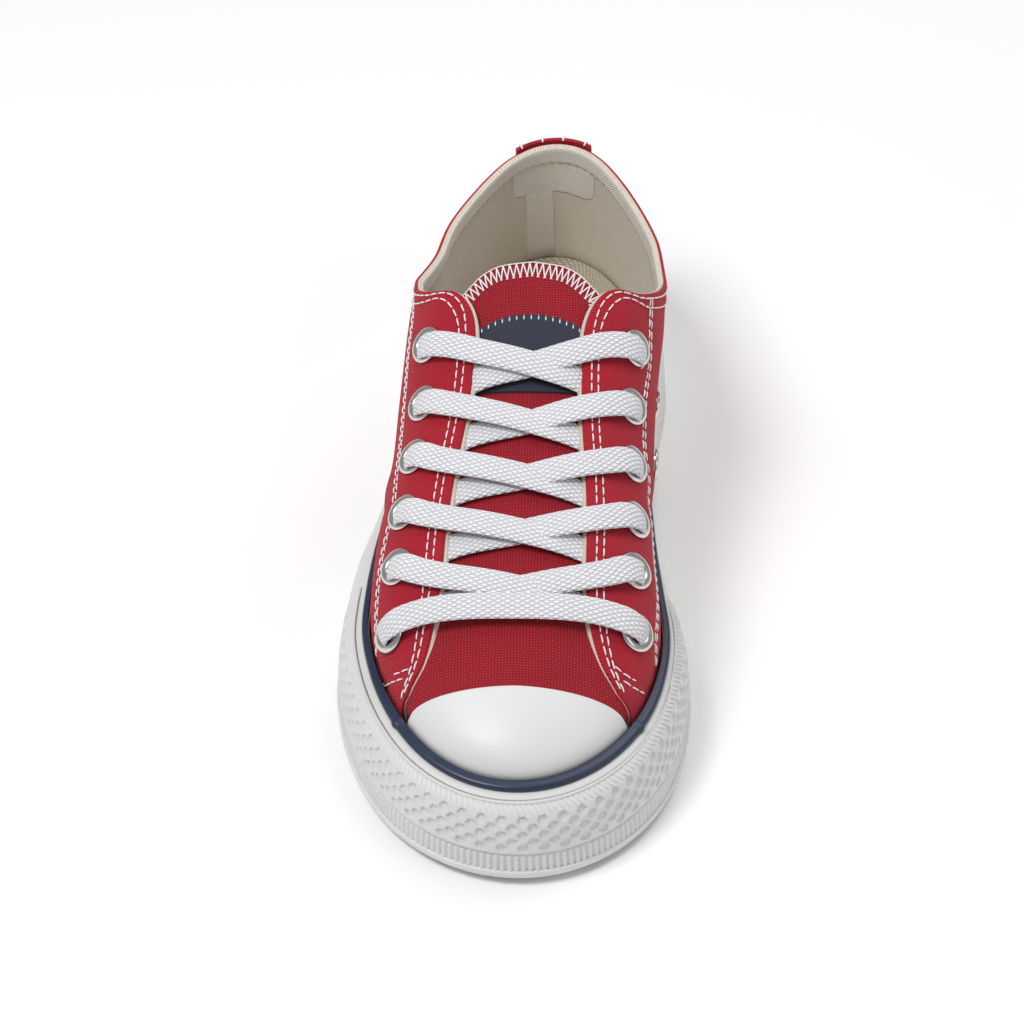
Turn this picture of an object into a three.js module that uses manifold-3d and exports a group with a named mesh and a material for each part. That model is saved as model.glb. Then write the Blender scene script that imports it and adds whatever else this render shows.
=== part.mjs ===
import * as THREE from 'three';
import { mergeVertices } from 'three/addons/utils/BufferGeometryUtils.js';
import Module from 'manifold-3d';

// Low canvas sneaker for the right foot, standing empty on its sole
// Millimetres, Z up, toe towards -Y, inner side of the foot towards +X

const wasm = await Module();
wasm.setup();

// Driving sizes of the last and the sole
const lastLength = 247.8;
const lastShift = 3.1;
const ballWidth = 80.8;
const instepHeight = 83;
const foxingHeight = 27;
const toeRound = 65.4;
const heelRound = 50;
const seatHeight = 17.5;
const flangeThickness = 2.7;
const toeSpring = 2.2;
const archLift = 1.6;
const soleFlare = 10.1;

// Driving sizes of the upper and what lies on it
const clearance = 0.3;
const vampWall = 1.2;
const quarterStep = 1.2;
const capThickness = 1.2;
const tongueDrop = 2.6;
const tongueThickness = 2.4;
const labelThickness = 0.8;
const labelLength = 22;
const labelPast = 4.3;
const labelBow = 5;
const labelLap = 1.2;
const heelStripThickness = 1.1;
const heelStripWidth = 25;
const insoleThickness = 3.4;
const heelCup = 4;
const cupStart = 0.72;
const capBow = 1.6;
const throatFloor = 20;

// Driving sizes of the foxing, the stripe and the toe bumper
const stripeToe = 2.8;
const stripeSide = 1.6;
const stripeHeight = 1.8;
const bumperDepth = 2.5;
const bumperProud = 0.35;
const bumperLength = 77.8;
const ribPitch = 5.6;
const ribDepth = 0.7;
const treadPitch = 9.5;
const treadWidth = 2.6;
const treadDepth = 1.4;
const treadBend = 5;
const treadStart = 12;
const treadEnd = 8;

// Driving sizes of the eyelets and the lace
const eyeletRows = 6;
const eyeletFront = 20.9;
const eyeletBack = 20.4;
const eyeletMargin = 12.6;
const eyeletSpread = 0.3;
const eyeletRadius = 5.7;
const eyeletHole = 2.8;
const eyeletRim = 0.5;
const flangeLift = 0.7;
const flangeEdge = 0.6;
const flangeThick = 0.9;
const eyeletSides = 10;
const ventRadius = 5;
const ventHeight = 42;
const ventPlaces = [-6.1, 21.9];
const laceWidth = 8;
const laceThickness = 1.7;
const laceNeck = 4.2;
const laceEdge = 1;

// Values that follow from the driving sizes
const halfBall = ballWidth / 2;
const toeY = lastShift - lastLength / 2;
const foxingInner = quarterStep + 2 * clearance;
const stripeInner = foxingInner + clearance;
const wallDepth = vampWall + quarterStep;
const bumperBack = toeY + bumperLength;

// Ends of cutting bodies, well outside the shoe and below its ground
const far = 2 * lastLength;
const deep = -foxingHeight / 2;

// A row per section of the last, from toe to heel, as shares of its length
// half, centre and ridge are shares of half the ball width, top is a share of the instep height
const sections = [
  { at: 0.00, half: 1.00, centre: 0.114, ridge: 0.114, top: 0.446, fox: 1 },
  { at: 0.09, half: 1.00, centre: 0.100, ridge: 0.104, top: 0.494, fox: 1 },
  { at: 0.17, half: 1.00, centre: 0.064, ridge: 0.090, top: 0.600, fox: 1 },
  { at: 0.24, half: 1.00, centre: 0.027, ridge: 0.080, top: 0.672, fox: 0.99 },
  { at: 0.31, half: 0.976, centre: -0.006, ridge: 0.075, top: 0.735, fox: 0.98 },
  { at: 0.38, half: 0.94, centre: -0.025, ridge: 0.075, top: 0.807, fox: 0.97 },
  { at: 0.45, half: 0.90, centre: -0.026, ridge: 0.075, top: 0.877, fox: 0.97 },
  { at: 0.52, half: 0.873, centre: -0.034, ridge: 0.075, top: 0.982, fox: 0.97 },
  { at: 0.60, half: 0.862, centre: -0.030, ridge: 0.075, top: 1.127, fox: 0.98 },
  { at: 0.65, half: 0.86, centre: -0.025, ridge: 0.075, top: 1.217, fox: 0.99 },
  { at: 0.70, half: 0.86, centre: -0.019, ridge: 0.08, top: 1.313, fox: 1.0 },
  { at: 0.79, half: 0.817, centre: 0.037, ridge: 0.085, top: 1.35, fox: 1.02 },
  { at: 0.86, half: 0.786, centre: 0.043, ridge: 0.085, top: 1.35, fox: 1.035 },
  { at: 0.93, half: 0.74, centre: 0.062, ridge: 0.085, top: 1.35, fox: 1.05 },
  { at: 1.00, half: 0.70, centre: 0.074, ridge: 0.085, top: 1.35, fox: 1.055 },
];

// A row per rib of the last: the powers of its lateral and medial curve and the swell of each
const ribSections = [
  { at: 0.00, roundL: 2.2, roundM: 2.2, swellL: 0, swellM: 0 },
  { at: 0.09, roundL: 2.2, roundM: 2.2, swellL: 0, swellM: 0 },
  { at: 0.17, roundL: 2.3, roundM: 2.3, swellL: 0, swellM: 0 },
  { at: 0.24, roundL: 2.5, roundM: 2.6, swellL: 0, swellM: 0 },
  { at: 0.31, roundL: 2.6, roundM: 2.9, swellL: 0, swellM: 0.01 },
  { at: 0.38, roundL: 2.7, roundM: 3.2, swellL: 0, swellM: 0.04 },
  { at: 0.45, roundL: 2.8, roundM: 3.7, swellL: 0.01, swellM: 0.08 },
  { at: 0.52, roundL: 3.0, roundM: 4.4, swellL: 0.02, swellM: 0.115 },
  { at: 0.60, roundL: 3.1, roundM: 5.2, swellL: 0.02, swellM: 0.145 },
  { at: 0.65, roundL: 3.1, roundM: 5.2, swellL: 0.01, swellM: 0.165 },
  { at: 0.70, roundL: 3.0, roundM: 5.6, swellL: 0, swellM: 0.165 },
  { at: 0.79, roundL: 2.7, roundM: 4.8, swellL: -0.01, swellM: 0.10 },
  { at: 0.86, roundL: 2.8, roundM: 3.8, swellL: 0, swellM: 0.04 },
  { at: 0.93, roundL: 3.0, roundM: 3.2, swellL: 0, swellM: 0.005 },
  { at: 1.00, roundL: 3.2, roundM: 3.2, swellL: 0, swellM: 0 },
];

// A row per section of the sole: spring, arch and seat are shares of their lifts
// flareL and flareM are how far the foot of each side stands out, as shares of the sole's flare
const soleSections = [
  { at: 0.00, spring: 1.00, arch: 0, seat: 0.62, flareL: 1.000, flareM: 1.000 },
  { at: 0.06, spring: 0.55, arch: 0, seat: 0.58, flareL: 1.000, flareM: 0.851 },
  { at: 0.12, spring: 0.12, arch: 0, seat: 0.55, flareL: 0.950, flareM: 0.693 },
  { at: 0.18, spring: 0.00, arch: 0, seat: 0.54, flareL: 0.911, flareM: 0.614 },
  { at: 0.27, spring: 0.00, arch: 0, seat: 0.56, flareL: 0.851, flareM: 0.554 },
  { at: 0.33, spring: 0.00, arch: 0, seat: 0.59, flareL: 0.812, flareM: 0.287 },
  { at: 0.38, spring: 0.00, arch: 0, seat: 0.63, flareL: 0.752, flareM: 0.149 },
  { at: 0.45, spring: 0.00, arch: 0.7, seat: 0.71, flareL: 0.485, flareM: 0.109 },
  { at: 0.52, spring: 0.00, arch: 1, seat: 0.80, flareL: 0.238, flareM: 0.099 },
  { at: 0.60, spring: 0.00, arch: 1, seat: 0.88, flareL: 0.188, flareM: 0.119 },
  { at: 0.68, spring: 0.00, arch: 0.1, seat: 0.95, flareL: 0.257, flareM: 0.158 },
  { at: 0.76, spring: 0.00, arch: 0, seat: 1.00, flareL: 0.356, flareM: 0.277 },
  { at: 0.94, spring: 0.00, arch: 0, seat: 1.00, flareL: 0.436, flareM: 0.416 },
  { at: 1.00, spring: 0.25, arch: 0, seat: 1.00, flareL: 0.446, flareM: 0.446 },
];

// Outer face of the sole's side: height as a share of the foxing, reach as a share of the flare
const sideSteps = [
  { height: 0.11, reach: 0.93 },
  { height: 0.36, reach: 0.86 },
  { height: 0.63, reach: 0.76 },
  { height: 0.83, reach: 0.55 },
];
const lipStep = { height: 0.90, reach: 0.30 };
const bandHeight = 0.93;

// Plan of the throat: the share of the length, then both edges as shares of half the ball width
const throatRows = [
  { at: 0.084, lateral: -0.817, medial: 0.941 },
  { at: 0.098, lateral: -0.644, medial: 0.777 },
  { at: 0.126, lateral: -0.540, medial: 0.658 },
  { at: 0.161, lateral: -0.495, medial: 0.589 },
  { at: 0.209, lateral: -0.463, medial: 0.554 },
  { at: 0.270, lateral: -0.453, medial: 0.545 },
  { at: 0.338, lateral: -0.421, medial: 0.522 },
  { at: 0.415, lateral: -0.361, medial: 0.478 },
  { at: 0.508, lateral: -0.332, medial: 0.465 },
  { at: 0.536, lateral: -0.356, medial: 0.500 },
  { at: 0.556, lateral: -0.421, medial: 0.569 },
  { at: 0.572, lateral: -0.520, medial: 0.668 },
  { at: 0.592, lateral: -0.656, medial: 0.792 },
  { at: 0.605, lateral: -0.718, medial: 0.866 },
];

// Side view of the collar line: the share of the length and the share of the instep height
const collarRows = [
  { at: 0.572, height: 1.018 },
  { at: 0.592, height: 0.978 },
  { at: 0.617, height: 0.930 },
  { at: 0.645, height: 0.882 },
  { at: 0.677, height: 0.836 },
  { at: 0.713, height: 0.793 },
  { at: 0.754, height: 0.759 },
  { at: 0.802, height: 0.737 },
  { at: 0.859, height: 0.733 },
  { at: 0.907, height: 0.747 },
  { at: 0.948, height: 0.776 },
  { at: 0.976, height: 0.805 },
  { at: 1.004, height: 0.824 },
  { at: 1.052, height: 0.836 },
];

// Smooth value of a table's column between its rows
function valueAt(table, name, at) {
  const last = table.length - 1;
  let i = 0;
  while (i < last - 1 && at > table[i + 1].at) i += 1;
  const slope = (k) => {
    const before = table[Math.max(k - 1, 0)];
    const after = table[Math.min(k + 1, last)];
    return (after[name] - before[name]) / (after.at - before.at);
  };
  const a = table[i];
  const b = table[i + 1];
  const span = b.at - a.at;
  const s = Math.min(Math.max((at - a.at) / span, 0), 1);
  const s2 = s * s;
  const s3 = s2 * s;
  return (2 * s3 - 3 * s2 + 1) * a[name] + (s3 - 2 * s2 + s) * span * slope(i)
    + (3 * s2 - 2 * s3) * b[name] + (s3 - s2) * span * slope(i + 1);
}

function lastValue(name, at) {
  return valueAt(sections, name, at);
}

function ribValue(name, at) {
  return valueAt(ribSections, name, at);
}

function soleValue(name, at) {
  return valueAt(soleSections, name, at);
}

// Share of the length at an angle round the outline: 0 at the toe, pi at the heel
function shareAt(angle) {
  return (1 - Math.cos(angle)) / 2;
}

// The first half turn runs along the lateral side, the second along the medial side
function sideAt(angle) {
  return Math.sin(angle) < 0 ? 1 : -1;
}

// Column of a table for one side
function sided(name, side) {
  return name + (side < 0 ? 'L' : 'M');
}

// Narrowing of the outline at its round ends
function endShare(at) {
  const fromToe = Math.min(at * lastLength / toeRound, 1);
  const fromHeel = Math.min((1 - at) * lastLength / heelRound, 1);
  return Math.sqrt(1 - (1 - fromToe) ** 2) * Math.sqrt(1 - (1 - fromHeel) ** 2);
}

function feather(angle) {
  const at = shareAt(angle);
  const half = halfBall * lastValue('half', at) * endShare(at);
  return [halfBall * lastValue('centre', at) + sideAt(angle) * half, toeY + lastLength * at];
}

// Point of the outline, moved outwards by a distance
function outline(angle, out) {
  const step = 0.004;
  const here = feather(angle);
  const a = feather(angle - step);
  const b = feather(angle + step);
  const length = Math.hypot(b[0] - a[0], b[1] - a[1]);
  return [here[0] - (b[1] - a[1]) / length * out, here[1] + (b[0] - a[0]) / length * out];
}

function foxingTop(at) {
  return foxingHeight * lastValue('fox', at);
}

function groundAt(at) {
  return Math.max(toeSpring * soleValue('spring', at) + archLift * soleValue('arch', at), 0);
}

function shareOfY(y) {
  return Math.min(Math.max((y - toeY) / lastLength, 0), 1);
}

// Corner of a ring whose height is that of the seat at its own place along the length
function onSeat([x, y], lift) {
  return [x, y, seatHeight * soleValue('seat', shareOfY(y)) + lift];
}

function flareAt(angle) {
  return soleFlare * soleValue(sided('flare', sideAt(angle)), shareAt(angle));
}

// Visible width of the stripe: full at the toe, narrow along the sides
function stripeWidth(at) {
  const s = Math.min(at / 0.3, 1);
  return stripeToe + (stripeSide - stripeToe) * s * s * (3 - 2 * s);
}

// Ridge along the top of the last, drawn in from both ends
const ridgeFront = 0.35;
const ridgeBack = 0.7;
const ridgeToe = 0.11;
const ridgeHeel = 0.12;

function ridgeShare(at) {
  if (at < ridgeFront) return at + ridgeToe * (1 - at / ridgeFront) ** 2;
  if (at > ridgeBack) return at - ridgeHeel * ((at - ridgeBack) / (1 - ridgeBack)) ** 2;
  return at;
}

function ridgeTop(y, out) {
  return instepHeight * lastValue('top', shareOfY(y)) + out;
}

// Value of a rib's shape, passing smoothly from one side to the other round the back of the heel
const heelBlend = 0.3;

function ribShape(name, angle, along) {
  const turn = Math.atan2(-Math.sin(angle), -Math.cos(angle)) / heelBlend;
  const s = (Math.min(Math.max(turn, -1), 1) + 1) / 2;
  const medial = s * s * (3 - 2 * s);
  return (1 - medial) * ribValue(`${name}L`, along) + medial * ribValue(`${name}M`, along);
}

// Reach of a rib at a share of its height: a rounded curve with a swell halfway up
function ribReach(share, angle, along, length) {
  const power = ribShape('round', angle, along);
  const swell = halfBall * ribShape('swell', angle, along) * Math.sin(Math.PI * share);
  return Math.max(1 - share ** power, 0) ** (1 / power) + swell / length;
}

// Foot and ridge of the rib at an angle round the outline
function ribEnds(angle, out) {
  const along = ridgeShare(shareAt(angle));
  const foot = outline(angle, out);
  const ridge = [halfBall * lastValue('ridge', along), toeY + lastLength * along];
  return { foot, ridge, along, length: Math.hypot(foot[0] - ridge[0], foot[1] - ridge[1]) };
}

// Point of the last's surface on a rib, risen by a quarter turn from its foot to the ridge
function lastPoint(angle, rise, out) {
  const at = shareAt(angle);
  const { foot, ridge, along, length } = ribEnds(angle, out);
  const share = Math.sin(rise) ** (2 / ribShape('round', angle, along));
  const reach = rise > Math.PI / 2 - 1e-9 ? 0 : ribReach(share, angle, along, length);
  const x = ridge[0] + (foot[0] - ridge[0]) * reach;
  const y = ridge[1] + (foot[1] - ridge[1]) * reach;
  const low = foxingTop(at);
  return [x, y, low + (ridgeTop(y, out) - low) * share];
}

// Argument at which a falling function passes a value
function solve(fall, value, low, high) {
  let [a, b] = [low, high];
  for (let i = 0; i < 40; i += 1) {
    const middle = (a + b) / 2;
    if (fall(middle) > value) a = middle;
    else b = middle;
  }
  return (a + b) / 2;
}

// Height of the last's surface above a point of the plan
function surfaceHeight(x, y, out) {
  const side = x > halfBall * lastValue('ridge', shareOfY(y)) ? 1 : -1;
  const angleOf = (share) => -side * Math.acos(1 - 2 * share);
  const across = (share) => {
    const { foot, ridge } = ribEnds(angleOf(share), out);
    return ((foot[0] - ridge[0]) * (y - ridge[1]) - (foot[1] - ridge[1]) * (x - ridge[0])) * side;
  };
  const at = solve(across, 0, 0.0005, 0.9995);
  const { ridge, along, length } = ribEnds(angleOf(at), out);
  const reach = Math.hypot(x - ridge[0], y - ridge[1]) / length;
  const share = solve((value) => ribReach(value, angleOf(at), along, length), reach, 0.4, 1);
  const low = foxingTop(at);
  return low + (ridgeTop(y, out) - low) * share;
}

// Frame on the last's surface: the point, and the direction straight out of it
function surfaceFrame(x, y, out) {
  const step = 0.8;
  const z = surfaceHeight(x, y, out);
  const slopeX = (surfaceHeight(x + step, y, out) - surfaceHeight(x - step, y, out)) / (2 * step);
  const slopeY = (surfaceHeight(x, y + step, out) - surfaceHeight(x, y - step, out)) / (2 * step);
  return { point: new THREE.Vector3(x, y, z), normal: new THREE.Vector3(-slopeX, -slopeY, 1).normalize() };
}

// Geometry from corner points and triangles, turned to face outwards
function surface(points, triangles) {
  let geometry = new THREE.BufferGeometry();
  geometry.setAttribute('position', new THREE.BufferAttribute(new Float32Array(points.flat()), 3));
  geometry.setIndex(triangles.flat());
  geometry = mergeVertices(geometry, 1e-4);
  const place = geometry.getAttribute('position');
  const index = geometry.getIndex().array;
  const kept = [];
  let volume = 0;
  const [a, b, c] = [new THREE.Vector3(), new THREE.Vector3(), new THREE.Vector3()];
  for (let i = 0; i < index.length; i += 3) {
    const corner = [index[i], index[i + 1], index[i + 2]];
    if (new Set(corner).size < 3) continue;
    a.fromBufferAttribute(place, corner[0]);
    b.fromBufferAttribute(place, corner[1]);
    c.fromBufferAttribute(place, corner[2]);
    volume += a.dot(b.cross(c));
    kept.push(corner);
  }
  geometry.setIndex((volume < 0 ? kept.map((corner) => corner.reverse()) : kept).flat());
  return geometry;
}

function toSolid(geometry) {
  const bare = geometry.clone();
  bare.deleteAttribute('normal');
  bare.deleteAttribute('uv');
  const merged = mergeVertices(bare, 1e-4);
  return new wasm.Manifold(new wasm.Mesh({
    numProp: 3,
    vertProperties: new Float32Array(merged.getAttribute('position').array),
    triVerts: new Uint32Array(merged.getIndex().array),
  }));
}

function toGeometry(solid) {
  const mesh = solid.getMesh();
  const geometry = new THREE.BufferGeometry();
  geometry.setAttribute('position', new THREE.BufferAttribute(new Float32Array(mesh.vertProperties), 3));
  geometry.setIndex([...mesh.triVerts]);
  return geometry;
}

// Rings of equal count joined into a skin; a cap is a ladder of rungs from side to side
function stack(rings, capTop = true) {
  const count = rings[0].length;
  const points = rings.flat();
  const triangles = [];
  for (let r = 0; r < rings.length - 1; r += 1) {
    for (let i = 0; i < count; i += 1) {
      const j = (i + 1) % count;
      const [a, b, c, d] = [r * count + i, r * count + j, (r + 1) * count + j, (r + 1) * count + i];
      triangles.push([a, b, c], [a, c, d]);
    }
  }
  const ladder = (first, flip) => {
    for (let i = 0; i < count / 2; i += 1) {
      const [a, b] = [first + i, first + i + 1];
      const [c, d] = [first + count - i - 1, first + (count - i) % count];
      const rungs = [[a, c, b], [a, d, c]];
      triangles.push(...(flip ? rungs.map((rung) => rung.reverse()) : rungs));
    }
  };
  ladder(0, false);
  if (capTop) ladder((rings.length - 1) * count, true);
  return surface(points, triangles);
}

// Profile of reach and height carried along stations of the outline, closed or with flat ends
function rail(stations, profileAt, closed) {
  const rows = stations.map((angle, i) => profileAt(angle, i).map(([out, z]) => [...outline(angle, out), z]));
  const size = rows[0].length;
  const triangles = [];
  const spans = closed ? rows.length : rows.length - 1;
  for (let r = 0; r < spans; r += 1) {
    for (let i = 0; i < size; i += 1) {
      const j = (i + 1) % size;
      const next = (r + 1) % rows.length;
      const [a, b, c, d] = [r * size + i, r * size + j, next * size + j, next * size + i];
      triangles.push([a, b, c], [a, c, d]);
    }
  }
  if (!closed) {
    const face = profileAt(stations[0], 0).map(([out, z]) => new THREE.Vector2(out, z));
    const end = (rows.length - 1) * size;
    const turned = THREE.ShapeUtils.isClockWise(face);
    for (const [a, b, c] of THREE.ShapeUtils.triangulateShape(face, [])) {
      triangles.push(turned ? [a, b, c] : [c, b, a]);
      triangles.push(turned ? [end + c, end + b, end + a] : [end + a, end + b, end + c]);
    }
  }
  return surface(rows.flat(), orderEnds(triangles, rows, size, closed));
}

// End faces wound to agree with the skin that they close
function orderEnds(triangles, rows, size, closed) {
  if (closed) return triangles;
  const edges = new Set();
  const skin = (rows.length - 1) * size * 2;
  for (const [a, b, c] of triangles.slice(0, skin)) {
    edges.add(`${a},${b}`);
    edges.add(`${b},${c}`);
    edges.add(`${c},${a}`);
  }
  const ends = triangles.slice(skin);
  const clash = (first) => ends.some(([a, b, c]) => (a < size) === first
    && (edges.has(`${a},${b}`) || edges.has(`${b},${c}`) || edges.has(`${c},${a}`)));
  const flips = { true: clash(true), false: clash(false) };
  const turned = ends.map((face) => (flips[face[0] < size] ? [...face].reverse() : face));
  return triangles.slice(0, skin).concat(turned);
}

function roundStations(count) {
  return Array.from({ length: count }, (_, i) => (2 * Math.PI * i) / count);
}

// Prism over a plan or a side view: plan goes along Z, side goes along X
function prism(points, from, to, side = false) {
  const shape = new THREE.Shape(points.map(([a, b]) => new THREE.Vector2(a, b)));
  const geometry = new THREE.ExtrudeGeometry(shape, { depth: to - from, bevelEnabled: false });
  geometry.translate(0, 0, from);
  if (side) geometry.applyMatrix4(new THREE.Matrix4().set(0, 0, 1, 0, 1, 0, 0, 0, 0, 1, 0, 0, 0, 0, 0, 1));
  return toSolid(geometry);
}

const ribs = roundStations(50);
const rises = 9;

// Closed body under the last's surface, moved outwards by a distance
function lastBody(out, bottom) {
  const rings = [ribs.map((angle) => [...outline(angle, out), bottom])];
  for (let k = 0; k <= rises; k += 1) {
    rings.push(ribs.map((angle) => lastPoint(angle, (k / rises) * Math.PI / 2, out)));
  }
  return toSolid(stack(rings, false));
}

// Body under a height that follows the length, used to clear what the sole fills
function below(lift, out) {
  const bottom = ribs.map((angle) => [...outline(angle, out), -20]);
  const top = ribs.map((angle) => onSeat(outline(angle, out), lift));
  return toSolid(stack([bottom, top]));
}

// Plan line of the cap's back edge, just in front of the throat and bowed towards the toe at both corners
function capLine(shift) {
  const edge = throatFront() - 2 * clearance;
  const points = [];
  for (let k = -6; k <= 6; k += 1) {
    const x = halfBall * lastValue('centre', 0.09) + k * 9;
    points.push([x, edge + shift - capBow * (k / 4) ** 2]);
  }
  return points;
}

function inFrontOf(line) {
  return prism([...line, [line[line.length - 1][0], -far], [line[0][0], -far]], 2 * deep, far);
}

function throatFront() {
  return toeY + lastLength * throatRows[0].at;
}

function throatBack() {
  return toeY + lastLength * throatRows[throatRows.length - 1].at;
}

// Rows of eyelets are spread evenly over the throat, with a margin at either end
function eyeletPitch() {
  return (throatBack() - throatFront() - eyeletFront - eyeletBack) / (eyeletRows - 1);
}

function eyeletY(row) {
  return throatBack() - eyeletBack - row * eyeletPitch();
}

function throatEdge(side, y) {
  return halfBall * valueAt(throatRows, side < 0 ? 'lateral' : 'medial', shareOfY(y));
}

// Plan of the open throat, from the cap's corners to the collar
function throatOpening() {
  const steps = 30;
  const first = throatFront();
  const last = throatBack();
  const ys = Array.from({ length: steps + 1 }, (_, i) => first + ((last - first) * i) / steps);
  const lateral = ys.map((y) => [throatEdge(-1, y), y]);
  const medial = ys.map((y) => [throatEdge(1, y), y]).reverse();
  return prism([...lateral, ...medial], throatFloor, far);
}

function collarCutter() {
  const rows = collarRows.map((row) => (
    new THREE.Vector2(toeY + lastLength * row.at, instepHeight * row.height)));
  const line = new THREE.SplineCurve(rows).getPoints(30);
  const end = line[line.length - 1];
  const plan = [[line[0].x, far], ...line.map((p) => [p.x, p.y]), [far, end.y], [far, far]];
  return prism(plan, -far, far, true);
}

// Turn that carries a part made along +Z onto a place of the surface
function placed(geometry, point, normal) {
  const turn = new THREE.Quaternion().setFromUnitVectors(new THREE.Vector3(0, 0, 1), normal);
  geometry.applyMatrix4(new THREE.Matrix4().compose(point, turn, new THREE.Vector3(1, 1, 1)));
  return geometry;
}

// Turned ring: a flange outside, a barrel through the wall
function eyeletRing(radius) {
  const profile = [
    [eyeletHole, -wallDepth - clearance],
    [eyeletHole + eyeletRim, -wallDepth - clearance],
    [eyeletHole + eyeletRim, flangeLift],
    [radius, flangeLift],
    [radius - eyeletRim, flangeLift + flangeEdge],
    [eyeletHole + eyeletRim, flangeLift + flangeThick],
  ].map(([r, z]) => new THREE.Vector2(r, z));
  const geometry = new THREE.LatheGeometry([...profile, profile[0]], eyeletSides);
  geometry.rotateX(Math.PI / 2);
  const place = geometry.getAttribute('position');
  const index = geometry.getIndex().array;
  const points = Array.from({ length: place.count }, (_, i) => [place.getX(i), place.getY(i), place.getZ(i)]);
  const triangles = Array.from({ length: index.length / 3 }, (_, i) => [...index.slice(3 * i, 3 * i + 3)]);
  return surface(points, triangles);
}

// Drill for a hole that clears the barrel all round
function holeDrill() {
  const sides = 12;
  const depth = 24;
  const radius = (eyeletHole + eyeletRim + clearance) / Math.cos(Math.PI / sides);
  const ring = Array.from({ length: sides }, (_, i) => {
    const angle = (2 * i * Math.PI) / sides;
    return new THREE.Vector2(radius * Math.cos(angle), radius * Math.sin(angle));
  });
  const geometry = new THREE.ExtrudeGeometry(new THREE.Shape(ring), { depth, bevelEnabled: false });
  geometry.translate(0, 0, -depth / 2);
  return geometry;
}

function eyeletFrames(side) {
  return Array.from({ length: eyeletRows }, (_, row) => {
    const { x, y } = eyeletSpot(side, row);
    return surfaceFrame(x, y, quarterStep);
  });
}

// Frame of a vent low on the medial wall
function ventFrame(place) {
  const wall = (y, z) => {
    const at = shareOfY(y);
    const angle = -Math.acos(1 - 2 * at);
    const { foot, ridge, along, length } = ribEnds(angle, quarterStep);
    const share = (z - foxingTop(at)) / (ridgeTop(y, quarterStep) - foxingTop(at));
    return ridge[0] + (foot[0] - ridge[0]) * ribReach(share, angle, along, length);
  };
  const slopeY = (wall(place + 1, ventHeight) - wall(place - 1, ventHeight)) / 2;
  const slopeZ = (wall(place, ventHeight + 1) - wall(place, ventHeight - 1)) / 2;
  return {
    point: new THREE.Vector3(wall(place, ventHeight), place, ventHeight),
    normal: new THREE.Vector3(1, -slopeY, -slopeZ).normalize(),
  };
}

// Upper: vamp at the last's surface, quarters a step proud of it, hollow and open below
function makeUpper(drills) {
  const quarters = lastBody(quarterStep, deep)
    .subtract(throatOpening())
    .subtract(inFrontOf(capLine(clearance)));
  const vampEnd = toeY + lastLength * tongueRows[0].at - clearance;
  const vampFront = prism([[-far, -far], [far, -far], [far, vampEnd], [-far, vampEnd]], 2 * deep, far);
  const vamp = lastBody(0, deep).intersect(vampFront);
  let solid = quarters.add(vamp)
    .subtract(lastBody(-vampWall, 2 * deep))
    .subtract(below(clearance, 12))
    .subtract(collarCutter());
  for (const drill of drills) solid = solid.subtract(drill);
  return toGeometry(solid);
}

// Tongue: a strip of the last's surface under the throat, with a rounded top
const tongueRows = [
  { at: 0.1664, lateral: -0.371, medial: 0.470 },
  { at: 0.221, lateral: -0.545, medial: 0.656 },
  { at: 0.326, lateral: -0.532, medial: 0.631 },
  { at: 0.447, lateral: -0.495, medial: 0.606 },
  { at: 0.536, lateral: -0.532, medial: 0.644 },
  { at: 0.568, lateral: -0.495, medial: 0.594 },
  { at: 0.588, lateral: -0.297, medial: 0.408 },
  { at: 0.599, lateral: -0.074, medial: 0.173 },
];

function stripPlan(rows) {
  const edge = (name) => new THREE.SplineCurve(rows.map((row) => (
    new THREE.Vector2(halfBall * row[name], toeY + lastLength * row.at)))).getPoints(20);
  return [...edge('lateral'), ...edge('medial').reverse()].map((p) => [p.x, p.y]);
}

function makeTongue() {
  const sheet = lastBody(-tongueDrop, deep).subtract(lastBody(-tongueDrop - tongueThickness, 2 * deep));
  return toGeometry(sheet.intersect(prism(stripPlan(tongueRows), foxingHeight, far)));
}

function makeLabel() {
  const lateral = throatEdge(-1, 0) - labelLap;
  const medial = throatEdge(1, 0) + labelLap;
  const middle = (lateral + medial) / 2;
  const half = (medial - lateral) / 2;
  const back = eyeletY(0) + labelPast;
  const plan = [[lateral, back - labelLength], [medial, back - labelLength]];
  for (let k = 0; k <= 8; k += 1) {
    const s = 1 - k / 4;
    plan.push([middle + half * s, back - labelBow * s * s]);
  }
  const inner = clearance - tongueDrop;
  const sheet = lastBody(inner + labelThickness, deep).subtract(lastBody(inner, 2 * deep));
  return toGeometry(sheet.intersect(prism(plan, foxingHeight, far)));
}

function makeToeCap() {
  const shell = lastBody(clearance + capThickness, deep).subtract(lastBody(clearance, 2 * deep));
  return toGeometry(shell.intersect(inFrontOf(capLine(0))).subtract(below(clearance, 12)));
}

// Heel strip: a plate over the back of the quarters, from the foxing to the collar
function makeHeelStrip() {
  const inner = quarterStep + clearance;
  const shell = lastBody(inner + heelStripThickness, deep).subtract(lastBody(inner, 2 * deep));
  const middle = halfBall * lastValue('centre', 1);
  const half = heelStripWidth / 2;
  const [left, right] = [middle - half, middle + half];
  const front = toeY + lastLength * 0.9;
  const back = prism([[left, front], [right, front], [right, far], [left, far]], 2 * deep, far);
  const foot = foxingTop(1) + stripeHeight;
  const low = prism([[-far, front], [far, front], [far, far], [-far, far]], 2 * deep, foot);
  return toGeometry(shell.intersect(back).subtract(low).subtract(collarCutter()));
}

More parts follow.
